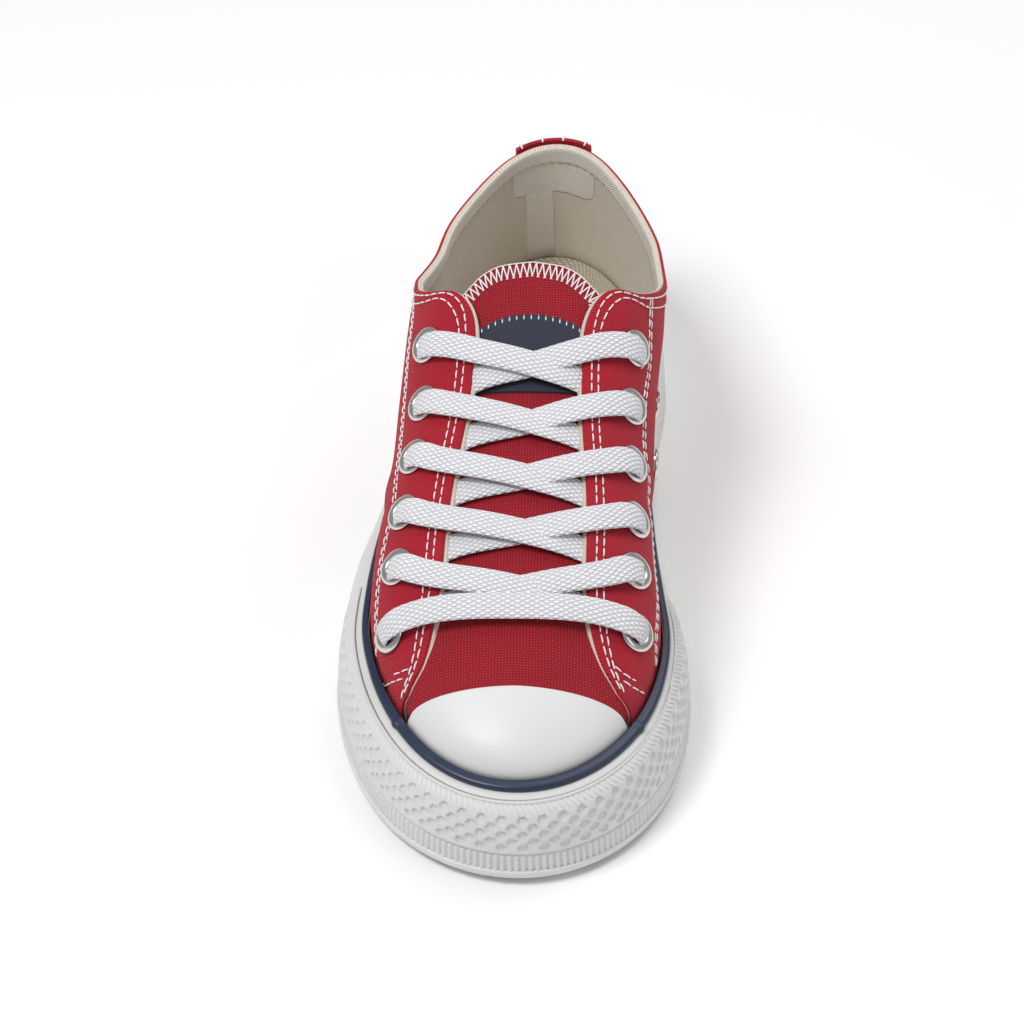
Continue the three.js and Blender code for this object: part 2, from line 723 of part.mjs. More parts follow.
function makeInsole() {
  const edge = -vampWall - clearance;
  const round = 0.8;
  const rim = 8;
  const cup = (at) => heelCup * Math.min(Math.max((at - cupStart) / 0.2, 0), 1);
  const ring = (out, lift, cupShare) => ribs.map((angle) => (
    onSeat(outline(angle, out), clearance + lift + cupShare * cup(shareAt(angle)))
  ));
  return stack([
    ring(edge - round, 0, 0),
    ring(edge, round, 0),
    ring(edge, insoleThickness - round, 1),
    ring(edge - round, insoleThickness, 1),
    ring(edge - rim, insoleThickness, 0),
  ]);
}

function soleReach(angle, reach) {
  return stripeInner + stripeWidth(shareAt(angle)) + flareAt(angle) * reach;
}

function makeOutsole() {
  const stations = roundStations(60);
  const ring = (outAt, zAt) => stations.map((angle) => (
    [...outline(angle, outAt(angle)), zAt(shareAt(angle))]));
  const flange = (angle) => soleReach(angle, 1);
  const core = () => foxingInner - clearance;
  const body = toSolid(stack([
    ring((angle) => soleReach(angle, 1) - 1.2, groundAt),
    ring(flange, (at) => groundAt(at) + 0.9),
    ring(flange, (at) => groundAt(at) + flangeThickness),
    ring(core, (at) => groundAt(at) + flangeThickness),
    stations.map((angle) => onSeat(outline(angle, core()), 0)),
  ]));
  const grooves = [];
  const middle = halfBall * lastValue('ridge', 0.09);
  for (let y = toeY + treadStart; y < toeY + lastLength - treadEnd; y += treadPitch) {
    const at = (y - toeY) / lastLength;
    if (soleValue('arch', at) > 0.3) continue;
    const [side, top] = [y - treadBend, y + treadBend];
    const plan = [[-90, side], [middle, top], [90, side], [90, side + treadWidth],
      [middle, top + treadWidth], [-90, side + treadWidth]];
    grooves.push(prism(plan, -1, groundAt(at) + treadDepth));
  }
  return toGeometry(grooves.reduce((solid, groove) => solid.subtract(groove), body));
}

// Stations from one end of the bumper round the toe to the other, a fixed step apart
function bumperStations(back, step) {
  const end = Math.acos(1 - (2 * (back - toeY)) / lastLength);
  const fine = 2000;
  const reach = soleReach(0, 1);
  const lengths = [0];
  const angles = [-end];
  let before = outline(-end, reach);
  for (let i = 1; i <= fine; i += 1) {
    const angle = -end + (2 * end * i) / fine;
    const here = outline(angle, reach);
    lengths.push(lengths[i - 1] + Math.hypot(here[0] - before[0], here[1] - before[1]));
    angles.push(angle);
    before = here;
  }
  const total = lengths[fine];
  const count = 2 * Math.round(total / step / 2);
  return Array.from({ length: count + 1 }, (_, i) => {
    const target = (total * i) / count;
    const k = Math.min(lengths.findIndex((length) => length >= target - 1e-9), fine);
    return angles[k];
  });
}

// Foxing: a ring of the side's steps, set back where the bumper lies
function makeFoxing() {
  const highest = sideSteps[sideSteps.length - 1];
  const end = Math.acos(1 - (2 * (bumperBack - toeY)) / lastLength);
  const gap = 0.006;
  const stations = roundStations(66).filter((angle) => {
    const turn = Math.min(angle, 2 * Math.PI - angle);
    return Math.abs(turn - end) > 0.04;
  });
  stations.push(end - gap / 2, end + gap / 2, 2 * Math.PI - end - gap / 2, 2 * Math.PI - end + gap / 2);
  stations.sort((a, b) => a - b);
  return rail(stations, (angle) => {
    const at = shareAt(angle);
    const depth = Math.min(angle, 2 * Math.PI - angle) < end ? bumperDepth : 0;
    const ground = groundAt(at) + flangeThickness + clearance;
    const top = foxingTop(at);
    const side = sideSteps.map((step, i) => [
      soleReach(angle, step.reach) - depth,
      i === 0 ? ground : top * step.height + (step === highest ? clearance : 0),
    ]);
    return [
      [foxingInner, ground],
      ...side,
      [soleReach(angle, highest.reach - 0.02), top * highest.height + 2 * clearance],
      [soleReach(angle, lipStep.reach), top * lipStep.height],
      [soleReach(angle, 0) + 0.6, top * bandHeight],
      [foxingInner, top * bandHeight],
    ];
  }, true);
}

function makeStripe() {
  return rail(roundStations(60), (angle) => {
    const at = shareAt(angle);
    const low = foxingTop(at) * bandHeight + clearance;
    const outer = stripeInner + stripeWidth(at);
    return [
      [stripeInner, low],
      [outer, low],
      [outer, low + stripeHeight * 0.6],
      [outer - 0.6, low + stripeHeight],
      [stripeInner, low + stripeHeight],
    ];
  }, true);
}

// Toe bumper: ribs along its foot and its top, a plain band between them
function makeBumper() {
  const stations = bumperStations(bumperBack - 0.6, ribPitch / 2);
  return rail(stations, (angle, i) => {
    const at = shareAt(angle);
    const top = foxingTop(at);
    const low = groundAt(at) + flangeThickness + 2 * clearance;
    const rib = i % 2 === 0 ? bumperProud : bumperProud - ribDepth;
    const outer = (step) => soleReach(angle, sideSteps[step].reach);
    const inner = (step) => outer(step) - bumperDepth + clearance;
    return [
      [inner(0), low],
      [outer(0) + rib, low],
      [outer(1) + rib, top * (sideSteps[1].height - 0.02)],
      [outer(1) + bumperProud, top * sideSteps[1].height],
      [outer(2) + bumperProud, top * sideSteps[2].height],
      [outer(2) + rib, top * (sideSteps[2].height + 0.02)],
      [outer(3) + rib, top * sideSteps[3].height],
      [inner(3), top * sideSteps[3].height],
      [inner(2), top * sideSteps[2].height],
      [inner(1), top * sideSteps[1].height],
    ];
  }, false);
}

// Flat strip along a path: each stop holds its place in plan, its lift over the last and its width
function laceStrip(stops, count) {
  const through = (name) => {
    const places = stops.map((stop) => new THREE.Vector3(stop.x, stop.y, stop[name]));
    return new THREE.CatmullRomCurve3(places, false, 'centripetal').getPoints(count);
  };
  const spots = through('lift');
  const spread = through('width');
  const rows = [];
  const places = spots.map((spot) => surfaceFrame(spot.x, spot.y, 0))
    .map((frame, i) => frame.point.clone().addScaledVector(frame.normal, spots[i].z));
  spots.forEach((spot, i) => {
    const before = places[Math.max(i - 1, 0)];
    const after = places[Math.min(i + 1, count)];
    const forward = after.clone().sub(before).normalize();
    const normal = surfaceFrame(spot.x, spot.y, 0).normal;
    const across = forward.clone().cross(normal).normalize();
    const up = across.clone().cross(forward).normalize();
    const half = spread[i].z / 2;
    const flat = half - laceEdge;
    const thick = laceThickness / 2;
    const corners = [[-half, 0], [-flat, -thick], [flat, -thick], [half, 0], [flat, thick], [-flat, thick]];
    rows.push(corners.map(([a, b]) => (
      places[i].clone().addScaledVector(across, a).addScaledVector(up, b).toArray())));
  });
  const triangles = [];
  for (let r = 0; r < count; r += 1) {
    for (let i = 0; i < 6; i += 1) {
      const j = (i + 1) % 6;
      const [a, b, c, d] = [r * 6 + i, r * 6 + j, (r + 1) * 6 + j, (r + 1) * 6 + i];
      triangles.push([a, b, c], [a, c, d]);
    }
  }
  for (let i = 1; i < 5; i += 1) {
    triangles.push([0, i + 1, i], [count * 6, count * 6 + i, count * 6 + i + 1]);
  }
  return surface(rows.flat(), triangles);
}

// Lifts of the lace's middle: over the flanges, and close over the tongue
const laceOver = quarterStep + flangeLift + flangeThick + 2 * clearance + laceThickness / 2;
const laceUnder = -tongueDrop + 2 * clearance + laceThickness / 2;
const laceStart = 2.4;

function eyeletSpot(side, row) {
  const y = eyeletY(row);
  const margin = eyeletMargin + eyeletSpread * (eyeletRows - 1 - row);
  return { x: throatEdge(side, y) + side * margin, y };
}

// One strand of a crossing: out from under one edge, over the other, into its eyelet
function laceStrand(from, row, over) {
  const to = -from;
  const eyelet = eyeletSpot(to, row);
  const startY = eyelet.y - eyeletPitch() * 0.82;
  const startX = throatEdge(from, startY) - from * laceStart;
  const edgeX = throatEdge(to, eyelet.y - 6);
  const middleX = (throatEdge(-1, eyelet.y) + throatEdge(1, eyelet.y)) / 2;
  const low = laceUnder + (row === 0 ? labelThickness + clearance : 0);
  const crossing = low + 0.4 + (over ? laceThickness - 0.2 : 0);
  return laceStrip([
    { x: startX, y: startY, lift: low + 0.2, width: laceWidth },
    { x: middleX, y: eyelet.y - eyeletPitch() * 0.66, lift: crossing, width: laceWidth },
    { x: edgeX - to * 2.2, y: eyelet.y - 7.2, lift: laceOver - 1.1, width: laceWidth },
    { x: edgeX + to * 5, y: eyelet.y - 4.6, lift: laceOver + 0.2, width: laceWidth },
    { x: eyelet.x - to * 1.6, y: eyelet.y - 1.2, lift: laceOver, width: laceNeck },
  ], 10);
}

function makeCross(row) {
  const under = toSolid(laceStrand(-1, row, false));
  const over = toSolid(laceStrand(1, row, true));
  return toGeometry(under.add(over));
}

function makeLaceBar() {
  const a = eyeletSpot(-1, eyeletRows - 1);
  const b = eyeletSpot(1, eyeletRows - 1);
  const middleX = (a.x + b.x) / 2;
  const rise = 2.8;
  return laceStrip([
    { x: a.x + 1.4, y: a.y, lift: laceOver - 0.1, width: laceNeck },
    { x: a.x + 7, y: a.y + rise * 0.6, lift: laceOver + 0.3, width: laceWidth },
    { x: middleX, y: a.y + rise, lift: laceOver - 0.6, width: laceWidth },
    { x: b.x - 7, y: b.y + rise * 0.6, lift: laceOver + 0.3, width: laceWidth },
    { x: b.x - 1.4, y: b.y, lift: laceOver - 0.1, width: laceNeck },
  ], 12);
}

function material(color, roughness, metalness = 0) {
  return new THREE.MeshStandardMaterial({ color, roughness, metalness });
}

const redCanvas = material(0xc0152f, 0.9);
const whiteRubber = material(0xe9e9e8, 0.55);
const soleRubber = material(0xe0e0de, 0.65);
const navyRubber = material(0x3a475c, 0.6);
const insoleCloth = material(0xcfc6ba, 0.95);
const navyCloth = material(0x2b2f47, 0.9);
const whiteLace = material(0xf0f0f2, 0.9);
const nickel = material(0xc9c9c6, 0.25, 1);

const group = new THREE.Group();
group.name = 'canvas_sneaker_right';

function addPart(name, geometry, finish) {
  const mesh = new THREE.Mesh(geometry, finish.clone());
  geometry.computeVertexNormals();
  mesh.name = name;
  group.add(mesh);
}

const lateralFrames = eyeletFrames(-1);
const medialFrames = eyeletFrames(1);
const ventFrames = ventPlaces.map(ventFrame);
const drills = [...lateralFrames, ...medialFrames, ...ventFrames]
  .map(({ point, normal }) => toSolid(placed(holeDrill(), point, normal)));

addPart('outsole', makeOutsole(), soleRubber);
addPart('foxing', makeFoxing(), whiteRubber);
addPart('toe_bumper', makeBumper(), whiteRubber);
addPart('pinstripe', makeStripe(), navyRubber);
addPart('upper', makeUpper(drills), redCanvas);
addPart('toe_cap', makeToeCap(), whiteRubber);
addPart('tongue', makeTongue(), redCanvas);
addPart('insole', makeInsole(), insoleCloth);
addPart('tongue_label', makeLabel(), navyCloth);
addPart('heel_strip', makeHeelStrip(), redCanvas);

lateralFrames.forEach(({ point, normal }, i) => {
  addPart(`eyelet_lateral_${i + 1}`, placed(eyeletRing(eyeletRadius), point, normal), nickel);
});
medialFrames.forEach(({ point, normal }, i) => {
  addPart(`eyelet_medial_${i + 1}`, placed(eyeletRing(eyeletRadius), point, normal), nickel);
});
ventFrames.forEach(({ point, normal }, i) => {
  addPart(`vent_${i + 1}`, placed(eyeletRing(ventRadius), point, normal), nickel);
});

addPart('lace_bar', makeLaceBar(), whiteLace);
for (let row = 0; row < eyeletRows - 1; row += 1) {
  addPart(`lace_cross_${row + 1}`, makeCross(row), whiteLace);
}

export default group;
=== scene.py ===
import bpy
import numpy as np
from mathutils import Matrix, Vector
from mathutils.bvhtree import BVHTree


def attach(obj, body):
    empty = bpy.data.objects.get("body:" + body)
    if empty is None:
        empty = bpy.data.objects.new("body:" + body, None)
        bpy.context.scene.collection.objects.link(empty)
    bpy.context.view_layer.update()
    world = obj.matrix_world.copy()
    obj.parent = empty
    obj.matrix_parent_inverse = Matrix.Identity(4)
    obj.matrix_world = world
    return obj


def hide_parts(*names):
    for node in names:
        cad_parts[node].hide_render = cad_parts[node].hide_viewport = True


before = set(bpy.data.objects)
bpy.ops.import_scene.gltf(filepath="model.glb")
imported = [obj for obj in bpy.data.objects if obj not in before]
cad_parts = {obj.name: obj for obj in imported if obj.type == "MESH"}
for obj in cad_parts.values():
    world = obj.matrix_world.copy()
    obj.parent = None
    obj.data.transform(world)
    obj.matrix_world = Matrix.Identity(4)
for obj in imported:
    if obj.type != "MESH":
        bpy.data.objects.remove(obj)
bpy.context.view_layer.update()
print("frame loaded")

mm = 0.001

# camera, light, floor
viewPoint = {
    "place": (53.2, -639.6, 557.4),  # mm, solved from the eyelets in the photograph
    "right": (0.9998, 0.0139, 0.0118),
    "up": (-0.018, 0.6612, 0.75),
    "focalPixels": 2755,
    "imagePixels": 1024,
    "aimPixel": (332, 449),  # the middle of the shoe in the photograph
}


def makeCamera(settings):
    # the photograph's camera, turned so that the one shoe stands in the middle
    right = Vector(settings["right"]).normalized()
    up = Vector(settings["up"]).normalized()
    back = right.cross(up)
    half = settings["imagePixels"] / 2
    aimX = (settings["aimPixel"][0] - half) / settings["focalPixels"]
    aimY = (half - settings["aimPixel"][1]) / settings["focalPixels"]
    aim = (right * aimX + up * aimY - back).normalized()
    side = aim.cross(up).normalized()
    turn = Matrix((side, side.cross(aim), -aim)).transposed()
    data = bpy.data.cameras.new("camera")
    data.sensor_width = 36
    data.lens = settings["focalPixels"] / settings["imagePixels"] * 36
    data.clip_start, data.clip_end = 0.01, 20
    camera = bpy.data.objects.new("camera", data)
    camera.matrix_world = Matrix.Translation(Vector(settings["place"]) * mm) @ turn.to_4x4()
    bpy.context.scene.collection.objects.link(camera)
    bpy.context.scene.camera = camera


lights = {
    "worldStrength": 0.34,
    "soft": [  # place in metres, side of the square in metres, watts
        ((-0.5, -0.3, 1.15), 0.5, 8.8),
        ((0.35, 0.55, 1.1), 0.9, 5.0),
        ((0.95, -0.5, 0.7), 0.7, 1.6),
    ],
}


def makeLights(settings):
    world = bpy.data.worlds.new("studio")
    bpy.context.scene.world = world
    world.use_nodes = True
    background = world.node_tree.nodes["Background"]
    background.inputs["Color"].default_value = (1, 1, 1, 1)
    background.inputs["Strength"].default_value = settings["worldStrength"]
    for number, (place, size, watts) in enumerate(settings["soft"]):
        data = bpy.data.lights.new(f"softbox{number}", "AREA")
        data.size, data.energy = size, watts
        light = bpy.data.objects.new(f"softbox{number}", data)
        light.location = place
        light.rotation_euler = (Vector((0, 0, 0.03)) - Vector(place)).to_track_quat("-Z", "Y").to_euler()
        bpy.context.scene.collection.objects.link(light)
    bpy.context.scene.view_settings.view_transform = "Standard"


# the last, as in the part's source
last = {"length": 247.8, "shift": 3.1, "ballWidth": 80.8, "instep": 83, "foxing": 27,
        "toeRound": 65.4, "heelRound": 50, "seat": 17.5, "flange": 2.7, "toeSpring": 2.2, "archLift": 1.6,
        "flare": 10.1, "heelBlend": 0.3}
halfBall = last["ballWidth"] / 2
toeY = last["shift"] - last["length"] / 2

sections = {
    "at": [0, .09, .17, .24, .31, .38, .45, .52, .60, .65, .70, .79, .86, .93, 1],
    "half": [1, 1, 1, 1, .976, .94, .90, .873, .862, .86, .86, .817, .786, .74, .70],
    "centre": [.114, .100, .064, .027, -.006, -.025, -.026, -.034, -.030, -.025, -.019, .037, .043, .062, .074],
    "ridge": [.114, .104, .090, .080, .075, .075, .075, .075, .075, .075, .08, .085, .085, .085, .085],
    "top": [.446, .494, .600, .672, .735, .807, .877, .982, 1.127, 1.217, 1.313, 1.35, 1.35, 1.35, 1.35],
    "fox": [1, 1, 1, .99, .98, .97, .97, .97, .98, .99, 1, 1.02, 1.035, 1.05, 1.055],
    "roundL": [2.2, 2.2, 2.3, 2.5, 2.6, 2.7, 2.8, 3.0, 3.1, 3.1, 3.0, 2.7, 2.8, 3.0, 3.2],
    "roundM": [2.2, 2.2, 2.3, 2.6, 2.9, 3.2, 3.7, 4.4, 5.2, 5.2, 5.6, 4.8, 3.8, 3.2, 3.2],
    "swellL": [0, 0, 0, 0, 0, 0, .01, .02, .02, .01, 0, -.01, 0, 0, 0],
    "swellM": [0, 0, 0, 0, .01, .04, .08, .115, .145, .165, .165, .10, .04, .005, 0],
}
soleSections = {
    "at": [0, .06, .12, .18, .27, .33, .38, .45, .52, .60, .68, .76, .94, 1],
    "spring": [1, .55, .12, 0, 0, 0, 0, 0, 0, 0, 0, 0, 0, .25],
    "arch": [0, 0, 0, 0, 0, 0, 0, .7, 1, 1, .1, 0, 0, 0],
    "seat": [.62, .58, .55, .54, .56, .59, .63, .71, .80, .88, .95, 1, 1, 1],
    "flareL": [1, 1, .95, .911, .851, .812, .752, .485, .238, .188, .257, .356, .436, .446],
    "flareM": [1, .851, .693, .614, .554, .287, .149, .109, .099, .119, .158, .277, .416, .446],
}
throatRows = {
    "at": [.084, .098, .126, .161, .209, .270, .338, .415, .508, .536, .556, .572, .592, .605],
    "lateral": [-.817, -.644, -.540, -.495, -.463, -.453, -.421, -.361, -.332, -.356, -.421, -.520, -.656, -.718],
    "medial": [.941, .777, .658, .589, .554, .545, .522, .478, .465, .500, .569, .668, .792, .866],
}
collarRows = {
    "at": [.572, .592, .617, .645, .677, .713, .754, .802, .859, .907, .948, .976, 1.004, 1.052],
    "height": [1.018, .978, .930, .882, .836, .793, .759, .737, .733, .747, .776, .805, .824, .836],
}
quarterOut, capOut, tongueOut = 1.2, 1.5, -2.6  # mm over the last's own surface


def valueAt(table, name, at):
    # smooth cubic between the rows of a table, with slopes from the rows on both sides
    x, y = np.array(table["at"], float), np.array(table[name], float)
    slope = np.empty_like(y)
    slope[1:-1] = (y[2:] - y[:-2]) / (x[2:] - x[:-2])
    slope[0], slope[-1] = (y[1] - y[0]) / (x[1] - x[0]), (y[-1] - y[-2]) / (x[-1] - x[-2])
    i = np.clip(np.searchsorted(x, at, side="left") - 1, 0, len(x) - 2)
    span = x[i + 1] - x[i]
    s = np.clip((at - x[i]) / span, 0, 1)
    return ((2 * s**3 - 3 * s**2 + 1) * y[i] + (s**3 - 2 * s**2 + s) * span * slope[i]
            + (3 * s**2 - 2 * s**3) * y[i + 1] + (s**3 - s**2) * span * slope[i + 1])


def smoothStep(low, high, value):
    s = np.clip((value - low) / (high - low), 0, 1)
    return s * s * (3 - 2 * s)


def shareAt(angle):
    return (1 - np.cos(angle)) / 2


def shareOfY(y):
    return np.clip((y - toeY) / last["length"], 0, 1)


def sideOf(angle):
    return np.where(np.sin(angle) < 0, 1.0, -1.0)  # +1 on the medial side


def bySide(table, name, at, angle):
    # lateral or medial column, passing smoothly from one to the other round the back of the heel
    turn = np.arctan2(-np.sin(angle), -np.cos(angle)) / last["heelBlend"]
    medial = smoothStep(-1, 1, turn)
    return (1 - medial) * valueAt(table, name + "L", at) + medial * valueAt(table, name + "M", at)


def feather(angle):
    # middle of the foot's outline plus or minus its half width, rounded in a circle at both ends
    at = shareAt(angle)
    fromToe = np.minimum(at * last["length"] / last["toeRound"], 1)
    fromHeel = np.minimum((1 - at) * last["length"] / last["heelRound"], 1)
    ends = np.sqrt(1 - (1 - fromToe) ** 2) * np.sqrt(1 - (1 - fromHeel) ** 2)
    x = halfBall * (valueAt(sections, "centre", at) + sideOf(angle) * valueAt(sections, "half", at) * ends)
    return np.stack([x, toeY + last["length"] * at], -1)


def outline(angle, out):
    # the outline moved outwards along its own normal
    step = 0.004
    across = feather(angle + step) - feather(angle - step)
    across /= np.linalg.norm(across, axis=-1, keepdims=True)
    out = np.asarray(out, float)[..., None]
    return feather(angle) + out * np.stack([-across[..., 1], across[..., 0]], -1)


def foxingTop(at):
    return last["foxing"] * valueAt(sections, "fox", at)


def groundAt(at):
    lift = last["toeSpring"] * valueAt(soleSections, "spring", at) + last["archLift"] * valueAt(soleSections, "arch", at)
    return np.maximum(lift, 0)


def ridgeShare(at):
    front = at + 0.11 * (1 - at / 0.35) ** 2
    rear = at - 0.12 * ((at - 0.7) / 0.3) ** 2
    return np.where(at < 0.35, front, np.where(at > 0.7, rear, at))


def ribParts(angle, out):
    # foot and ridge of the rib at an angle, and what shapes the rib between them
    angle, out = np.broadcast_arrays(np.asarray(angle, float), np.asarray(out, float))
    at = shareAt(angle)
    along = ridgeShare(at)
    foot = outline(angle, out)
    ridge = np.stack([halfBall * valueAt(sections, "ridge", along), toeY + last["length"] * along], -1)
    length = np.linalg.norm(foot - ridge, axis=-1)
    power = bySide(sections, "round", along, angle)
    swell = halfBall * bySide(sections, "swell", along, angle) / length
    return at, foot, ridge, length, power, swell


def reachAt(share, power, swell):
    return np.maximum(1 - share**power, 0) ** (1 / power) + swell * np.sin(np.pi * share)


def lastPoint(angle, rise, out):
    # a rib leaves the foot upwards and bends over to the ridge on a superellipse, swollen halfway up
    angle, rise, out = np.broadcast_arrays(np.asarray(angle, float), np.asarray(rise, float), np.asarray(out, float))
    at, foot, ridge, length, power, swell = ribParts(angle, out)
    share = np.clip(np.sin(rise), 0, 1) ** (2 / power)
    reach = reachAt(share, power, swell)[..., None]
    plan = ridge + (foot - ridge) * reach
    low = foxingTop(at)
    top = last["instep"] * valueAt(sections, "top", shareOfY(plan[..., 1])) + out
    return np.concatenate([plan, (low + (top - low) * share)[..., None]], -1)


def solveFall(fall, low, high, steps=34):
    # the argument at which a falling function of whole arrays passes zero
    for _ in range(steps):
        middle = (low + high) / 2
        above = fall(middle) > 0
        low, high = np.where(above, middle, low), np.where(above, high, middle)
    return (low + high) / 2


def overLast(x, y, out):
    # height of the last's surface above points of the plan
    x, y, out = np.broadcast_arrays(np.asarray(x, float), np.asarray(y, float), np.asarray(out, float))
    side = np.where(x > halfBall * valueAt(sections, "ridge", shareOfY(y)), 1.0, -1.0)

    def across(share):
        _, foot, ridge, _, _, _ = ribParts(-side * np.arccos(1 - 2 * share), out)
        arm = foot - ridge
        return (arm[..., 0] * (y - ridge[..., 1]) - arm[..., 1] * (x - ridge[..., 0])) * side

    at = solveFall(across, np.full(x.shape, 0.0005), np.full(x.shape, 0.9995))
    _, _, ridge, length, power, swell = ribParts(-side * np.arccos(1 - 2 * at), out)
    reach = np.hypot(x - ridge[..., 0], y - ridge[..., 1]) / length
    share = solveFall(lambda s: reachAt(s, power, swell) - reach, np.full(x.shape, 0.4), np.full(x.shape, 1.0))
    low = foxingTop(at)
    top = last["instep"] * valueAt(sections, "top", shareOfY(y)) + out
    return low + (top - low) * share


def surfaceFrame(x, y, out):
    # point over the plan and the direction straight out of the surface there
    step = 0.8
    slopeX = (overLast(x + step, y, out) - overLast(x - step, y, out)) / (2 * step)
    slopeY = (overLast(x, y + step, out) - overLast(x, y - step, out)) / (2 * step)
    normal = np.stack([-slopeX, -slopeY, np.ones_like(slopeX)], -1)
    normal /= np.linalg.norm(normal, axis=-1, keepdims=True)
    point = np.stack(np.broadcast_arrays(x, y, overLast(x, y, out)), -1)
    return point, normal


def throatEdge(side, y):
    name = "lateral" if side < 0 else "medial"
    return halfBall * valueAt(throatRows, name, shareOfY(y))


# meshes from grids
def gridFaces(rows, columns, wrapRows=False, wrapColumns=False):
    i = np.arange(rows if wrapRows else rows - 1)[:, None]
    j = np.arange(columns if wrapColumns else columns - 1)[None, :]
    iNext, jNext = (i + 1) % rows, (j + 1) % columns
    corners = [i * columns + j, iNext * columns + j, iNext * columns + jNext, i * columns + jNext]
    return np.stack(np.broadcast_arrays(*corners), -1).reshape(-1, 4)


def arcLengths(grid, wrap=0):
    # distance along the grid's middle column, and along each row, in mm
    rows, columns = grid.shape[:2]
    along = np.linalg.norm(np.diff(grid[:, columns // 2], axis=0), axis=-1)
    across = np.linalg.norm(np.diff(grid, axis=1), axis=-1)
    u = np.concatenate([[0], np.cumsum(along)])[:, None] * np.ones((1, columns))
    v = np.concatenate([np.zeros((rows, 1)), np.cumsum(across, 1)], 1)
    return np.stack([u, v], -1)


def makePiece(name, points, faces, uv, material, slot, replaces=(), sharp=40):
    # points in mm; faces are turned outwards by the sign of the enclosed volume
    points, faces = np.asarray(points, float), np.asarray(faces)
    a, b, c, d = (points[faces[:, k]] for k in range(4))
    volume = np.einsum("ij,ij->i", a, np.cross(b, c)).sum() + np.einsum("ij,ij->i", a, np.cross(c, d)).sum()
    if volume < 0:
        faces = faces[:, ::-1]
    mesh = bpy.data.meshes.new(name)
    mesh.from_pydata((points * mm).tolist(), [], faces.tolist())
    layer = mesh.uv_layers.new(name="cloth")
    corners = np.empty(len(mesh.loops), np.int32)
    mesh.loops.foreach_get("vertex_index", corners)
    layer.data.foreach_set("uv", (np.asarray(uv)[corners] * mm).astype(np.float32).ravel())
    mesh.polygons.foreach_set("use_smooth", np.ones(len(mesh.polygons), bool))
    mesh.validate()
    if sharp:
        mesh.set_sharp_from_angle(angle=np.radians(sharp))
    piece = bpy.data.objects.new(name, mesh)
    bpy.context.scene.collection.objects.link(piece)
    mesh.materials.append(material)
    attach(piece, "root")
    if replaces:
        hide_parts(*replaces)
    return piece


def shellPiece(name, outer, inner, material, slot, ring=False, lengths=None, **more):
    # closed slab between two grids of one size; a ring has no end faces
    rows, columns = outer.shape[:2]
    loop = np.concatenate([outer, inner[:, ::-1]], 1)
    lengths = arcLengths(outer) if lengths is None else lengths
    uv = np.concatenate([lengths, lengths[:, ::-1]], 1)
    faces = gridFaces(rows, 2 * columns, wrapRows=ring, wrapColumns=True)
    if not ring:
        j = np.arange(columns - 1)
        first = np.stack([j, j + 1, 2 * columns - 2 - j, 2 * columns - 1 - j], -1)
        end = (first + (rows - 1) * 2 * columns)[:, ::-1]
        faces = np.concatenate([faces, first, end])
    return makePiece(name, loop.reshape(-1, 3), faces, uv.reshape(-1, 2), material, slot, **more)


def railPiece(name, profiles, material, slot, **more):
    # closed profile carried round the whole outline
    uv = arcLengths(profiles)
    faces = gridFaces(*profiles.shape[:2], wrapRows=True, wrapColumns=True)
    return makePiece(name, profiles.reshape(-1, 3), faces, uv.reshape(-1, 2), material, slot, **more)


# materials
def linear(code):
    # sRGB hex to linear colour
    parts = np.array([int(code[i:i + 2], 16) for i in (1, 3, 5)]) / 255
    parts = np.where(parts <= 0.04045, parts / 12.92, ((parts + 0.055) / 1.055) ** 2.4)
    return (*parts.tolist(), 1.0)


def addNode(tree, kind, links=None, inputs=None, **settings):
    node = tree.nodes.new(kind)
    for name, value in settings.items():
        setattr(node, name, value)
    for name, value in (inputs or {}).items():
        node.inputs[name].default_value = value
    for name, source in (links or {}).items():
        tree.links.new(source, node.inputs[name])
    return node


def startMaterial(name, roughness, **inputs):
    material = bpy.data.materials.new(name)
    material.use_nodes = True
    tree = material.node_tree
    shader = tree.nodes["Principled BSDF"]
    shader.inputs["Roughness"].default_value = roughness
    for socket, value in inputs.items():
        shader.inputs[socket.replace("_", " ")].default_value = value
    return material, tree, shader


def clothSpace(tree, pitch, turn, wobble=0.12):
    # the piece's own UV in threads, a little uneven, as two separate coordinates
    source = addNode(tree, "ShaderNodeUVMap", uv_map="cloth").outputs["UV"]
    mapping = addNode(tree, "ShaderNodeMapping", {"Vector": source}, {
        "Scale": (1 / (pitch[0] * mm), 1 / (pitch[1] * mm), 1.0), "Rotation": (0, 0, np.radians(turn))})
    noise = addNode(tree, "ShaderNodeTexNoise", {"Vector": mapping.outputs["Vector"]},
                    {"Scale": 0.35, "Detail": 1.0})
    shift = addNode(tree, "ShaderNodeVectorMath", {0: noise.outputs["Color"]},
                    {1: (wobble * 3,) * 3}, operation="MULTIPLY")
    moved = addNode(tree, "ShaderNodeVectorMath",
                    {0: mapping.outputs["Vector"], 1: shift.outputs["Vector"]}, operation="ADD")
    return addNode(tree, "ShaderNodeSeparateXYZ", {"Vector": moved.outputs["Vector"]}).outputs


def sineOf(tree, source, turns):
    # sine of a thread coordinate, half a wave for each thread
    scaled = addNode(tree, "ShaderNodeMath", {0: source}, {1: np.pi * turns}, operation="MULTIPLY")
    return addNode(tree, "ShaderNodeMath", {0: scaled.outputs[0]}, operation="SINE").outputs[0]


